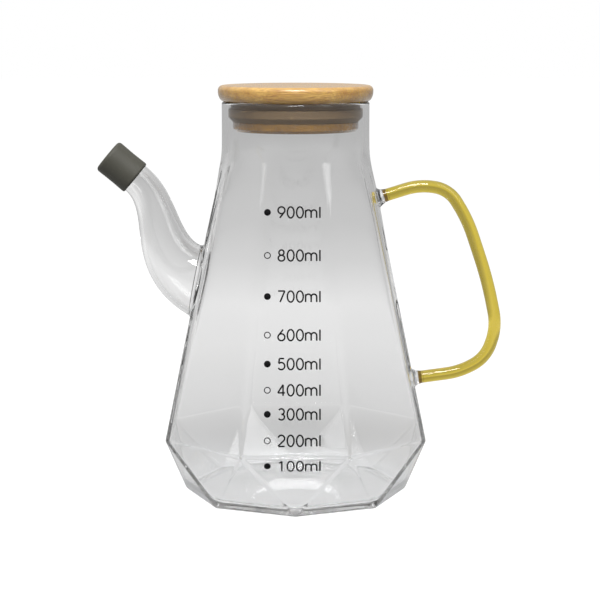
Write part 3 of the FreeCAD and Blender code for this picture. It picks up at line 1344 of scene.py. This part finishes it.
def turned_tree() -> bpy.types.NodeTree:
    """Tree that turns an outline, given as reach X and height Z, round the Z axis."""
    group = GeometryGroup("turned_piece", {
        "Segments": 96, "Place": (0.0, 0.0, 0.0), "Tilt": (0.0, 0.0, 0.0), "Material": None,
        "Lower Material": None, "Split Height": -1.0})
    given, maths = group.given, group.maths
    size = group.add("GeometryNodeAttributeDomainSize", {"Geometry": given["Geometry"]})
    count = size.outputs["Point Count"]
    sheet = group.add("GeometryNodeMeshGrid", {
        "Size X": 1.0, "Size Y": 1.0, "Vertices X": count,
        "Vertices Y": maths("ADD", given["Segments"], 1.0)})
    place = group.add("GeometryNodeInputPosition")
    across = group.split(place)
    last = maths("SUBTRACT", count, 1.0)
    row = maths("ROUND", maths("MULTIPLY", maths("ADD", across["X"], 0.5), last))
    turn = maths("MULTIPLY", maths("ADD", across["Y"], 0.5), 2 * math.pi)
    outline = group.split(group.add("GeometryNodeSampleIndex", {
        "Geometry": given["Geometry"], "Value": place, "Index": row},
        data_type="FLOAT_VECTOR", domain="POINT"))
    around = group.add("ShaderNodeCombineXYZ", {
        0: maths("MULTIPLY", outline["X"], maths("COSINE", turn)),
        1: maths("MULTIPLY", outline["X"], maths("SINE", turn)), 2: outline["Z"]})
    turned = group.add("GeometryNodeSetPosition",
                       {"Geometry": sheet.outputs["Mesh"], "Position": around})
    closed = group.add("GeometryNodeMergeByDistance", {"Geometry": turned, "Distance": 1e-6})
    return group.finish(group.add("GeometryNodeTransform", {
        "Geometry": closed, "Translation": given["Place"], "Rotation": given["Tilt"]}))


def outline_mesh(name: str, points: Sequence[tuple[float, float]]) -> bpy.types.Mesh:
    """Open chain of points as a mesh, with close points beside each corner of a long run.

    Args:
        name: the mesh's name.
        points: reach and height of each point.

    Returns:
        The mesh.
    """
    margin = 0.18 * MM
    chain = [np.array(points[0])]
    for start, end in zip(np.array(points), np.array(points[1:])):
        length = np.linalg.norm(end - start)
        if length > 4 * margin:
            step = (end - start) / length * margin
            chain += [start + step, end - step]
        chain.append(end)
    mesh = bpy.data.meshes.new(name)
    mesh.from_pydata([(x, 0.0, z) for x, z in chain], [(i, i + 1) for i in range(len(chain) - 1)], [])
    return mesh


# ---- Pieces ---------------------------------------------------------------------------

class Slot(Enum):
    """Kinds of material, one for each piece."""

    CLEAR_GLASS = "clear_glass"
    AMBER_GLASS = "amber_glass"
    BAMBOO = "bamboo"
    SEAL = "seal_silicone"
    CAP = "cap_silicone"


def settle(made: bpy.types.Object, slot: Slot | None, *nodes: str) -> None:
    """Ties a finished piece to the frame and reports it.

    Args:
        made: the piece.
        slot: not used.
        nodes: the frame's nodes that it stands for.
    """
    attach(made, "root")
    if nodes:
        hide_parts(*nodes)
    log.info("%s: %d faces", made.name, len(made.data.polygons))


@dataclass
class RodHandle:
    """The amber glass rod, bent in the XZ plane between its two fused ends."""

    shape: BodyShape
    radius: float = 2.85 * MM
    top_height: float = 136.7 * MM
    foot_height: float = 53.0 * MM
    nub_length: float = 2.6 * MM
    reach: float = 40.1 * MM
    bends: tuple = (
        (1.060, 0.428), (1.036, 0.753), (0.870, 0.902), (0.543, 1.000), (0.280, 1.007),
        (0.109, 0.815), (0.031, 0.489))
    arc_share: float = 0.48
    arc_points: int = 9
    collar: float = 0.28 * MM
    collar_length: float = 1.6 * MM
    joint: float = 0.04 * MM

    def points(self) -> list[np.ndarray]:
        """Ends and bends of the centreline, from its top to its foot."""
        top, foot = (
            np.array([self.shape.upper.reach(height) + self.nub_length, 0.0, height])
            for height in (self.top_height, self.foot_height))
        inner = [foot + (top - foot) * height_share + np.array([self.reach * reach_share, 0.0, 0.0])
                 for height_share, reach_share in self.bends]
        return [top, *inner, foot]

    def ends(self) -> list[tuple[np.ndarray, np.ndarray]]:
        """Each end's point, with the direction in which the rod leaves it."""
        points = self.points()
        return [(end, unit(after - end)) for end, after in (points[:2], points[:-3:-1])]

    def path(self) -> list[np.ndarray]:
        """The centreline: straight runs joined by arcs that touch both runs."""
        points = self.points()
        first, last = (end + leave * self.joint for end, leave in self.ends())
        chain = [first]
        for before, bend, after in zip(points, points[1:], points[2:]):
            back, ahead = before - bend, after - bend
            setback = self.arc_share * min(np.linalg.norm(back), np.linalg.norm(ahead))
            back, ahead = unit(back), unit(ahead)
            half = math.acos(float(back @ ahead)) / 2
            centre = bend + unit(back + ahead) * setback * math.tan(half) / math.sin(half)
            start, finish = bend + back * setback - centre, bend + ahead * setback - centre
            sweep = math.pi - 2 * half
            for share in np.linspace(0.0, 1.0, self.arc_points):
                lean = math.sin((1 - share) * sweep) * start + math.sin(share * sweep) * finish
                chain.append(centre + lean / math.sin(sweep))
        return [*chain, last]

    @staticmethod
    def tree() -> bpy.types.NodeTree:
        """Tree that runs a round rod along a path, a little thicker at both ends."""
        group = GeometryGroup("glass_rod", {
            "Radius": 0.0027, "Collar": 0.0003, "Collar Length": 0.0016, "Step": 0.0008,
            "Sides": 32, "Material": None})
        given = group.given
        even = group.add("GeometryNodeResampleCurve", {
            "Curve": given["Geometry"], "Length": given["Step"]}, mode="LENGTH")
        here = group.add("GeometryNodeSplineParameter").outputs["Length"]
        whole = group.add("GeometryNodeSplineLength").outputs["Length"]
        nearest = group.maths("MINIMUM", here, group.maths("SUBTRACT", whole, here))
        thick = group.maths("ADD", given["Radius"], given["Collar"])
        swell = group.remap(nearest, given["Collar Length"], 0.0, given["Radius"], thick,
                            interpolation_type="SMOOTHERSTEP")
        ring = group.add("GeometryNodeCurvePrimitiveCircle", {
            "Resolution": given["Sides"], "Radius": 1.0})
        return group.finish(group.add("GeometryNodeCurveToMesh", {
            "Curve": even, "Profile Curve": ring, "Scale": swell, "Fill Caps": True}))

    def build(self, material: bpy.types.Material) -> bpy.types.Object:
        """Makes the rod.

        Args:
            material: its finish.

        Returns:
            The rod.
        """
        return grow(poly_curve("handle_route", [self.path()]), "handle_rod", self.tree(), {
            "Radius": self.radius, "Collar": self.collar, "Collar Length": self.collar_length,
            "Material": material})


class TurnedPiece:
    """A piece turned from an outline of reach and height."""

    name = ""
    segments = 160

    def outline(self) -> list[tuple[float, float]]:
        """Outline of one side, from its start on the axis or the bore to its end there."""
        raise NotImplementedError

    def settings(self) -> dict:
        """Values of the turning tree that only this piece needs."""
        return {}

    def build(self, tree: bpy.types.NodeTree, material: bpy.types.Material) -> bpy.types.Object:
        """Makes the piece with the tree that turns an outline, in its finish."""
        values = {"Segments": self.segments, "Material": material, **self.settings()}
        return grow(outline_mesh(self.name + "_outline", self.outline()), self.name, tree, values)


@dataclass
class BambooLid(TurnedPiece):
    """The lid: a disc on the rim, a core for the seal and a smaller disc in the neck."""

    radius: float
    top: float
    rim: float
    foot: float
    # Painted shade: the lid's bamboo made darker for the smaller disc under the lid.
    plug_painted_shade: bpy.types.Material
    name: str = "bamboo_lid"
    top_round: float = 2.2 * MM
    under_width: float = 2.6 * MM
    under_height: float = 4.5 * MM
    core_radius: float = CORE_RADIUS
    plug_radius: float = 28.3 * MM
    plug_top: float = 170.6 * MM
    plug_round: float = 0.3 * MM
    chamfer: float = 1.3 * MM

    def outline(self) -> list[tuple[float, float]]:
        """Outline from the middle of the top to the middle of the foot."""
        top, plug = self.top_round, self.plug_round
        return [
            (0.0, self.top),
            *arc(self.radius - top, self.top - top, top, 90, 0, 10),
            *arc(self.radius - self.under_width, self.rim + self.under_height,
                 (self.under_width, self.under_height), 0, -90, 12),
            (self.core_radius, self.rim), (self.core_radius, self.plug_top),
            *arc(self.plug_radius - plug, self.plug_top - plug, plug, 90, 0, 4),
            (self.plug_radius, self.foot + self.chamfer),
            (self.plug_radius - self.chamfer, self.foot), (0.0, self.foot)]

    def settings(self) -> dict:
        """The smaller disc's painted shade, a darker copy of the lid's bamboo, up to the middle of the
        core.
        """
        return {"Lower Material": self.plug_painted_shade, "Split Height": (self.plug_top + self.rim) / 2}


@dataclass
class LidSeal(TurnedPiece):
    """The silicone ring in the lid's groove: a sloping foot, a lip and a thinner collar."""

    lip: float
    foot: float
    name: str = "lid_seal_ring"
    core_radius: float = CORE_RADIUS
    foot_inset: float = 2.0 * MM
    collar_inset: float = 1.2 * MM
    collar_rise: float = 0.5 * MM
    lip_start: float = 2.2 * MM
    lip_end: float = 5.8 * MM
    height: float = 8.7 * MM
    round: float = 0.45 * MM

    def outline(self) -> list[tuple[float, float]]:
        """Outline from the foot of the bore up the outside and back to it."""
        size, collar, top = self.round, self.lip - self.collar_inset, self.foot + self.height
        low, high = self.foot + self.lip_start, self.foot + self.lip_end
        return [
            (self.core_radius, self.foot), (self.lip - self.foot_inset, self.foot),
            *arc(self.lip - size, low + size / 2, size, -42, 0, 4),
            *arc(self.lip - size, high - size, size, 0, 80, 5),
            (collar, high + self.collar_rise), *arc(collar - size, top - size, size, 0, 90, 4),
            (self.core_radius, top), (self.core_radius, self.foot)]


@dataclass
class SpoutCap(TurnedPiece):
    """The silicone cap on the spout's tip, drawn in at its waist."""

    spout: SpoutTube
    name: str = "spout_cap_sleeve"
    segments: int = 96
    length: float = 16.3 * MM
    wall: float = 0.9 * MM
    clearance: float = 0.05 * MM
    depth: float = 12.0 * MM
    waist: float = 0.1 * MM
    end_round: float = 1.6 * MM
    mouth_round: float = 0.85 * MM
    mouth_lift: float = 0.1 * MM

    def outline(self) -> list[tuple[float, float]]:
        """Outline from the middle of the closed end to the middle of the bore's end."""
        bore, end = self.spout.tip_radius + self.clearance, self.depth + self.clearance
        reach, low, high = bore + self.wall, self.mouth_round, self.length - self.end_round
        waist = [(reach - self.waist * math.sin(math.pi * share) ** 2, high + (low - high) * share)
                 for share in np.linspace(0.1, 0.9, 9)]
        return [
            (0.0, self.length), *arc(reach - self.end_round, high, self.end_round, 90, 0, 10),
            *waist, *arc(reach - low, low, low, 0, -90, 6),
            (bore, self.mouth_lift), (bore, end), (0.0, end)]

    def settings(self) -> dict:
        """Place and tilt of the spout's tip."""
        tilt = self.spout.tip_slope - math.pi / 2
        return {"Place": tuple(self.spout.mouth), "Tilt": (0.0, tilt, 0.0)}


class Mark(Enum):
    """Kinds of dot beside a figure of the scale."""

    RING = 0
    FILLED = 1


class StrokeFont:
    """Thin round figures drawn with strokes, one unit tall."""

    advance = 0.835
    m_advance = 1.29

    def __init__(self) -> None:
        """Draws the figures."""
        arch = [arc(x, 0.47, 0.25, 180, 0, 12) + [(x + 0.25, 0.0)] for x in (0.25, 0.75)]
        self.strokes = {
            "0": [arc(0.32, 0.5, (0.3, 0.5), 90, 450, 28)],
            "1": [[(0.12, 0.8), (0.36, 1.0)], [(0.36, 1.0), (0.36, 0.0)]],
            "2": [arc(0.32, 0.71, 0.29, 165, -38, 16) + [(0.03, 0.03)], [(0.03, 0.0), (0.62, 0.0)]],
            "3": [arc(0.32, 0.74, (0.25, 0.26), 150, -90, 14),
                  arc(0.32, 0.26, (0.28, 0.26), 90, -150, 14)],
            "4": [[(0.47, 0.0), (0.47, 1.0)], [(0.47, 1.0), (0.0, 0.27)], [(0.0, 0.27), (0.64, 0.27)]],
            "5": [[(0.56, 1.0), (0.14, 1.0)], [(0.14, 1.0), (0.08, 0.55)],
                  arc(0.31, 0.32, (0.31, 0.32), 138, -150, 18)],
            "6": [arc(0.32, 0.31, 0.31, 0, 360, 24), [(0.47, 1.0), (0.06, 0.47)]],
            "7": [[(0.02, 1.0), (0.62, 1.0)], [(0.62, 1.0), (0.2, 0.0)]],
            "8": [arc(0.32, 0.76, (0.23, 0.24), 0, 360, 20), arc(0.32, 0.26, (0.29, 0.26), 0, 360, 24)],
            "9": [arc(0.32, 0.69, 0.31, 0, 360, 24), [(0.17, 0.0), (0.58, 0.53)]],
            "m": [[(0.0, 0.0), (0.0, 0.72)], *arch],
            "l": [[(0.0, 0.0), (0.0, 1.0)]],
        }

    def write(self, text: str, start: float, foot: float,
              size: float) -> list[list[tuple[float, float, float]]]:
        """Strokes of a row of figures with an ml after them.

        Args:
            text: the figures.
            start: where the row begins.
            foot: the row's foot.
            size: height of the figures.

        Returns:
            The strokes' points, flat in X and Y.
        """
        drawn, place = [], start
        for letter in text + "ml":
            for stroke in self.strokes[letter]:
                drawn.append([(place + x * size, foot + y * size, 0.0) for x, y in stroke])
            place += size * (self.m_advance if letter == "m" else self.advance)
        return drawn


@dataclass
class VolumeScale:
    """Black print on the front face: a dot and a figure for each hundred millilitres."""

    shape: BodyShape
    heights: tuple = (24.9, 36.0, 47.2, 57.4, 68.5, 80.8, 97.2, 114.7, 133.1)
    step: int = 100
    figure_size: float = 4.8 * MM
    figure_start: float = -7.6 * MM
    dot_place: float = -12.15 * MM
    dot_radius: float = 1.48 * MM
    ring_radius: float = 1.28 * MM
    ring_stroke: float = 0.42 * MM
    stroke: float = 0.7 * MM
    film: float = 0.04 * MM
    lift: float = 0.05 * MM
    first_mark: Mark = Mark.FILLED
    font: StrokeFont = field(default_factory=StrokeFont)

    def slope_lengths(self) -> list[float]:
        """Lengths along the slope from the belt to each mark, negative below it."""
        made = []
        for rise in (height * MM - self.shape.belt_height for height in self.heights):
            plane = self.shape.upper if rise > 0 else self.shape.belt_triangle
            made.append(rise / plane.radial)
        return made

    def tree(self) -> bpy.types.NodeTree:
        """Tree that lays flat print, drawn in X and Y, over the belt's fold."""
        vectors = {"Belt": (0.0, 0.0, 0.0)}
        for label in ("Upper", "Lower"):
            vectors |= {label + " Slope": (0.0, 0.0, 1.0), label + " Normal": (0.0, -1.0, 0.0)}
        group = GeometryGroup("printed_scale", {
            "Stroke": 0.0004, "Film": 0.00004, "Lift": 0.00005, "Dot Radius": 0.0014,
            "Ring Radius": 0.0012, "Ring Stroke": 0.0004, "First Mark": 1, **vectors,
            "Material": None})
        given, maths = group.given, group.maths
        pen, fine_pen, hoop = (
            group.add("GeometryNodeCurvePrimitiveCircle", {"Resolution": sides, "Radius": radius})
            for sides, radius in (
                (8, maths("MULTIPLY", given["Stroke"], 0.5)),
                (8, maths("MULTIPLY", given["Ring Stroke"], 0.5)), (32, given["Ring Radius"])))
        parts = group.add("GeometryNodeSeparateComponents", {"Geometry": given["Geometry"]}).outputs
        lines = group.add("GeometryNodeCurveToMesh", {
            "Curve": parts["Curve"], "Profile Curve": pen, "Fill Caps": True})
        ring = group.add("GeometryNodeCurveToMesh", {"Curve": hoop, "Profile Curve": fine_pen})
        disc = group.add("GeometryNodeMeshCylinder", {
            "Vertices": 32, "Radius": given["Dot Radius"], "Depth": given["Stroke"]})
        number = group.add("GeometryNodeInputIndex")
        kind = maths("MODULO", maths("ADD", number, given["First Mark"]), 2.0)
        join = group.add("GeometryNodeJoinGeometry", {"Geometry": lines})
        for mark, shape in ((Mark.RING, ring), (Mark.FILLED, disc)):
            dots = group.add("GeometryNodeInstanceOnPoints", {
                "Points": parts["Mesh"], "Selection": maths("COMPARE", kind, float(mark.value), 0.1),
                "Instance": shape})
            group.tree.links.new(dots.outputs[0], join.inputs[0])
        flat = group.add("GeometryNodeRealizeInstances", {"Geometry": join})
        drawn = group.split(group.add("GeometryNodeInputPosition"))
        below = maths("LESS_THAN", drawn["Y"], 0.0)
        slope, normal = (
            group.add("GeometryNodeSwitch", {
                "Switch": below, "False": given["Upper " + label], "True": given["Lower " + label]},
                input_type="VECTOR")
            for label in ("Slope", "Normal"))
        thinned = maths("DIVIDE", given["Film"], given["Stroke"])
        proud = maths("MULTIPLY_ADD", drawn["Z"], thinned, given["Lift"])
        laid = group.vector("ADD", group.add("ShaderNodeCombineXYZ", {0: drawn["X"]}), given["Belt"])
        for direction, length in ((slope, drawn["Y"]), (normal, proud)):
            laid = group.vector("ADD", laid, group.scaled(direction, length))
        return group.finish(group.add("GeometryNodeSetPosition", {"Geometry": flat, "Position": laid}))

    def build(self, material: bpy.types.Material) -> list[bpy.types.Object]:
        """Prints the figures and the dots.

        Args:
            material: the ink.

        Returns:
            The figures and the dots, as two pieces.
        """
        values = {
            "Stroke": self.stroke, "Film": self.film, "Lift": self.lift, "Material": material,
            "Dot Radius": self.dot_radius, "Ring Radius": self.ring_radius,
            "Ring Stroke": self.ring_stroke, "First Mark": self.first_mark.value,
            "Belt": (0.0, -self.shape.belt_apothem, self.shape.belt_height)}
        for label, plane in (("Upper", self.shape.upper), ("Lower", self.shape.belt_triangle)):
            values[label + " Slope"] = (0.0, plane.vertical, plane.radial)
            values[label + " Normal"] = (0.0, -plane.radial, plane.vertical)
        places, strokes = self.slope_lengths(), []
        for number, place in enumerate(places, 1):
            foot = place - self.figure_size / 2
            strokes += self.font.write(str(number * self.step), self.figure_start, foot,
                                       self.figure_size)
        dots = bpy.data.meshes.new("scale_places")
        dots.from_pydata([(self.dot_place, place, 0.0) for place in places], [], [])
        tree = self.tree()
        return [grow(poly_curve("scale_strokes", strokes), "volume_figures", tree, values),
                grow(dots, "volume_dots", tree, values)]


# ---- Studio ---------------------------------------------------------------------------

@dataclass(frozen=True)
class Softbox:
    """A soft rectangular lamp with its place, width and height, power in watts and target."""

    name: str
    place: tuple
    size: tuple
    power: float
    target: tuple = (0.0, 0.0, 0.1)
    lights_matt: bool = False

    def hang(self) -> None:
        """Adds the lamp to the scene."""
        data = bpy.data.lights.new(self.name, "AREA")
        data.shape = "RECTANGLE"
        data.size, data.size_y = self.size
        data.energy = self.power
        lamp = in_scene(self.name, data)
        lamp.location = self.place
        aim = Vector(self.target) - Vector(self.place)
        lamp.rotation_euler = aim.to_track_quat("-Z", "Y").to_euler()
        lamp.visible_diffuse = self.lights_matt


@dataclass
class Studio:
    """Plain pale floor with a painted pool of light seen in the glass, white surroundings, soft lamps
    and the camera.
    """

    floor_reach: float = 6.0
    floor_gap: float = 0.1 * MM
    floor_colour: tuple = (0.2, 0.2, 0.2, 1.0)
    white_lift: float = 0.85
    # Painted pool of light on the floor, seen only off and through the glass: distance from the middle
    # in metres and brightness. It stands in for the lamps' falloff and for the shade under the base.
    painted_light_pool: tuple = (
        (0.0, 0.40), (0.07, 0.36), (0.125, 0.35), (0.19, 0.44), (0.27, 0.49), (0.4, 0.58),
        (0.58, 0.63), (0.83, 0.47), (1.15, 0.375), (2.6, 0.30))
    softboxes: tuple = (
        Softbox("left_softbox", place=(-0.74, -0.585, 0.95), size=(0.2, 1.0), power=0.9),
        Softbox("right_softbox", place=(0.74, -0.585, 0.95), size=(0.42, 1.0), power=3.2),
        Softbox("key_softbox", place=(-0.02, -0.8, 1.15), size=(0.45, 0.45), power=15.0,
                target=(0.0, 0.0, 0.15), lights_matt=True))
    ambient: tuple = (0.05, 1.1)
    sky: tuple = (0.5, 0.9)
    flanks: tuple = (1.1, 0.8)
    horizon_reach: float = 0.9
    camera_place: tuple = (1.98 * MM, -849.0 * MM, 216.5 * MM)
    camera_dip: float = math.radians(8.546)
    lens: float = 112.55
    sensor_width: float = 36.0
    far_clip: float = 50.0
    glass_bounces: int = 32

    def build(self) -> None:
        """Makes the floor, the world, the lamps and the camera."""
        self.add_floor()
        self.add_world()
        for softbox in self.softboxes:
            softbox.hang()
        self.add_camera()

    def add_floor(self) -> None:
        """Lays the floor, which keeps the object's shadow and is otherwise white to the eye; to rays
        off or through the glass it shows a painted pool of light, graded by distance from the middle.
        """
        mesh = bpy.data.meshes.new("floor")
        ways = ((-1, -1), (1, -1), (1, 1), (-1, 1))
        corners = [(x * self.floor_reach, y * self.floor_reach, -self.floor_gap) for x, y in ways]
        mesh.from_pydata(corners, [], [(0, 1, 2, 3)])
        floor = in_scene("floor", mesh)
        material, nodes = Finish("pale_floor").start()
        cover = nodes.add("ShaderNodeBsdfDiffuse", {"Color": self.floor_colour})
        away = nodes.add("ShaderNodeVectorMath", {0: nodes.place()}, operation="LENGTH")
        span = self.painted_light_pool[-1][0]
        share = nodes.maths("DIVIDE", away.outputs["Value"], span)
        # Painted pool of light: the floor's brightness in the glass, by distance from the middle.
        ramp = nodes.add("ShaderNodeValToRGB", {"Fac": share})
        stops = ramp.color_ramp.elements
        for distance, _ in self.painted_light_pool[1:-1]:
            stops.new(distance / span)
        for stop, (distance, level) in zip(stops, self.painted_light_pool):
            stop.position = distance / span
            stop.color = (level, level, level, 1.0)
        seen = self.seen(nodes, self.white_lift, ramp)
        lift = nodes.add("ShaderNodeEmission", {"Color": (1, 1, 1, 1), "Strength": seen})
        both = nodes.add("ShaderNodeAddShader", {0: cover, 1: lift})
        nodes.add("ShaderNodeOutputMaterial", {"Surface": both})
        mesh.materials.append(material)

    @staticmethod
    def seen(nodes: Nodes, direct: object, through: object) -> bpy.types.Node:
        """Light added for the eye: none for the rays that carry light between surfaces.

        Args:
            nodes: the shader's nodes.
            direct: what the camera's own rays get.
            through: what rays mirrored or let through by the object get.

        Returns:
            The sum's node.
        """
        path = nodes.add("ShaderNodeLightPath").outputs
        glass = nodes.maths("MAXIMUM", path["Is Glossy Ray"], path["Is Transmission Ray"])
        return nodes.maths("MULTIPLY_ADD", path["Is Camera Ray"], direct,
                           nodes.maths("MULTIPLY", glass, through))

    def add_world(self) -> None:
        """White surroundings to the eye, and light that is stronger from above."""
        world = bpy.data.worlds.new("studio")
        bpy.context.scene.world = world
        world.use_nodes = True
        world.node_tree.nodes.clear()
        nodes = Nodes(world.node_tree)
        way = nodes.split(nodes.add("ShaderNodeTexCoord").outputs["Generated"])
        sky, ambient = (
            nodes.remap(way["Z"], 0.0, self.horizon_reach, *span) for span in (self.sky, self.ambient))
        flank = nodes.remap(way["X"], -self.horizon_reach, self.horizon_reach, *self.flanks)
        eye = self.seen(nodes, 1.0, nodes.maths("MULTIPLY", sky, flank))
        matt = nodes.add("ShaderNodeLightPath").outputs["Is Diffuse Ray"]
        strength = nodes.maths("ADD", eye, nodes.maths("MULTIPLY", matt, ambient))
        shown = nodes.add("ShaderNodeBackground", {"Color": (1, 1, 1, 1), "Strength": strength})
        nodes.add("ShaderNodeOutputWorld", {"Surface": shown})

    def add_camera(self) -> None:
        """Sets up the camera and the colour view."""
        data = bpy.data.cameras.new("camera")
        data.lens = self.lens
        data.sensor_width = self.sensor_width
        data.clip_end = self.far_clip
        camera = in_scene("camera", data)
        camera.location = self.camera_place
        camera.rotation_euler = Euler((math.pi / 2 - self.camera_dip, 0.0, 0.0))
        scene = bpy.context.scene
        scene.camera = camera
        scene.view_settings.view_transform = "Standard"
        for kind in ("max_bounces", "transmission_bounces", "glossy_bounces"):
            setattr(scene.cycles, kind, self.glass_bounces)


# ---- Main -----------------------------------------------------------------------------

def main() -> None:
    """Builds the looks round the frame, piece by piece."""
    logging.basicConfig(level=logging.INFO, format="%(message)s")
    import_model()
    effects = SharedEffects()
    vessel_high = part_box("glass_vessel")[1]
    lid_low, lid_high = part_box("lid")
    seal_low, seal_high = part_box("lid_seal")
    shape = BodyShape(belt_apothem=vessel_high.y, rim_height=vessel_high.z)
    rod = RodHandle(shape)
    turning = turned_tree()
    vessel = GlassVessel(shape, rod).build()
    vessel.data.materials.append(GlassFinish("clear_glass").build(effects))
    settle(vessel, Slot.CLEAR_GLASS, "glass_vessel")
    amber = FusedRodFinish("amber_glass", tint=linear(255, 244, 165), absorbed=(0.86, 0.78, 0.1, 1),
                           density=330.0, shade=linear(240, 215, 120),
                           ends=tuple(tuple(end) for end, _ in rod.ends()))
    settle(rod.build(amber.build(effects)), Slot.AMBER_GLASS, "handle")
    disc = BambooFinish("bamboo_disc").build(effects)
    # Painted shade: the smaller disc under the lid takes a darker copy of the lid's bamboo.
    plug = BambooFinish("bamboo_plug", light=linear(142, 103, 26), dark=linear(84, 54, 8),
                        speck=linear(60, 36, 10), along_x=0.0).build(effects)
    lid = BambooLid(lid_high.x, top=lid_high.z, rim=shape.rim_height, foot=lid_low.z, plug_painted_shade=plug)
    settle(lid.build(turning, disc), Slot.BAMBOO, "lid")
    rubber = SiliconeFinish("seal_silicone", colour=linear(94, 74, 46)).build(effects)
    seal = LidSeal(lip=seal_high.x, foot=seal_low.z)
    settle(seal.build(turning, rubber), Slot.SEAL, "lid_seal")
    cap = SpoutCap(SpoutTube(shape))
    settle(cap.build(turning, SiliconeFinish("cap_silicone").build(effects)), Slot.CAP, "spout_cap")
    ink = SiliconeFinish("scale_ink", colour=linear(9, 9, 11), mottle=0.9, dust=0.0, matt=0.75,
                         shine=0.15).build(effects)
    for printed in VolumeScale(shape).build(ink):
        settle(printed, None)
    Studio().build()
    log.info("studio: floor, world, lamps and camera")


if __name__ == "__main__":
    main()
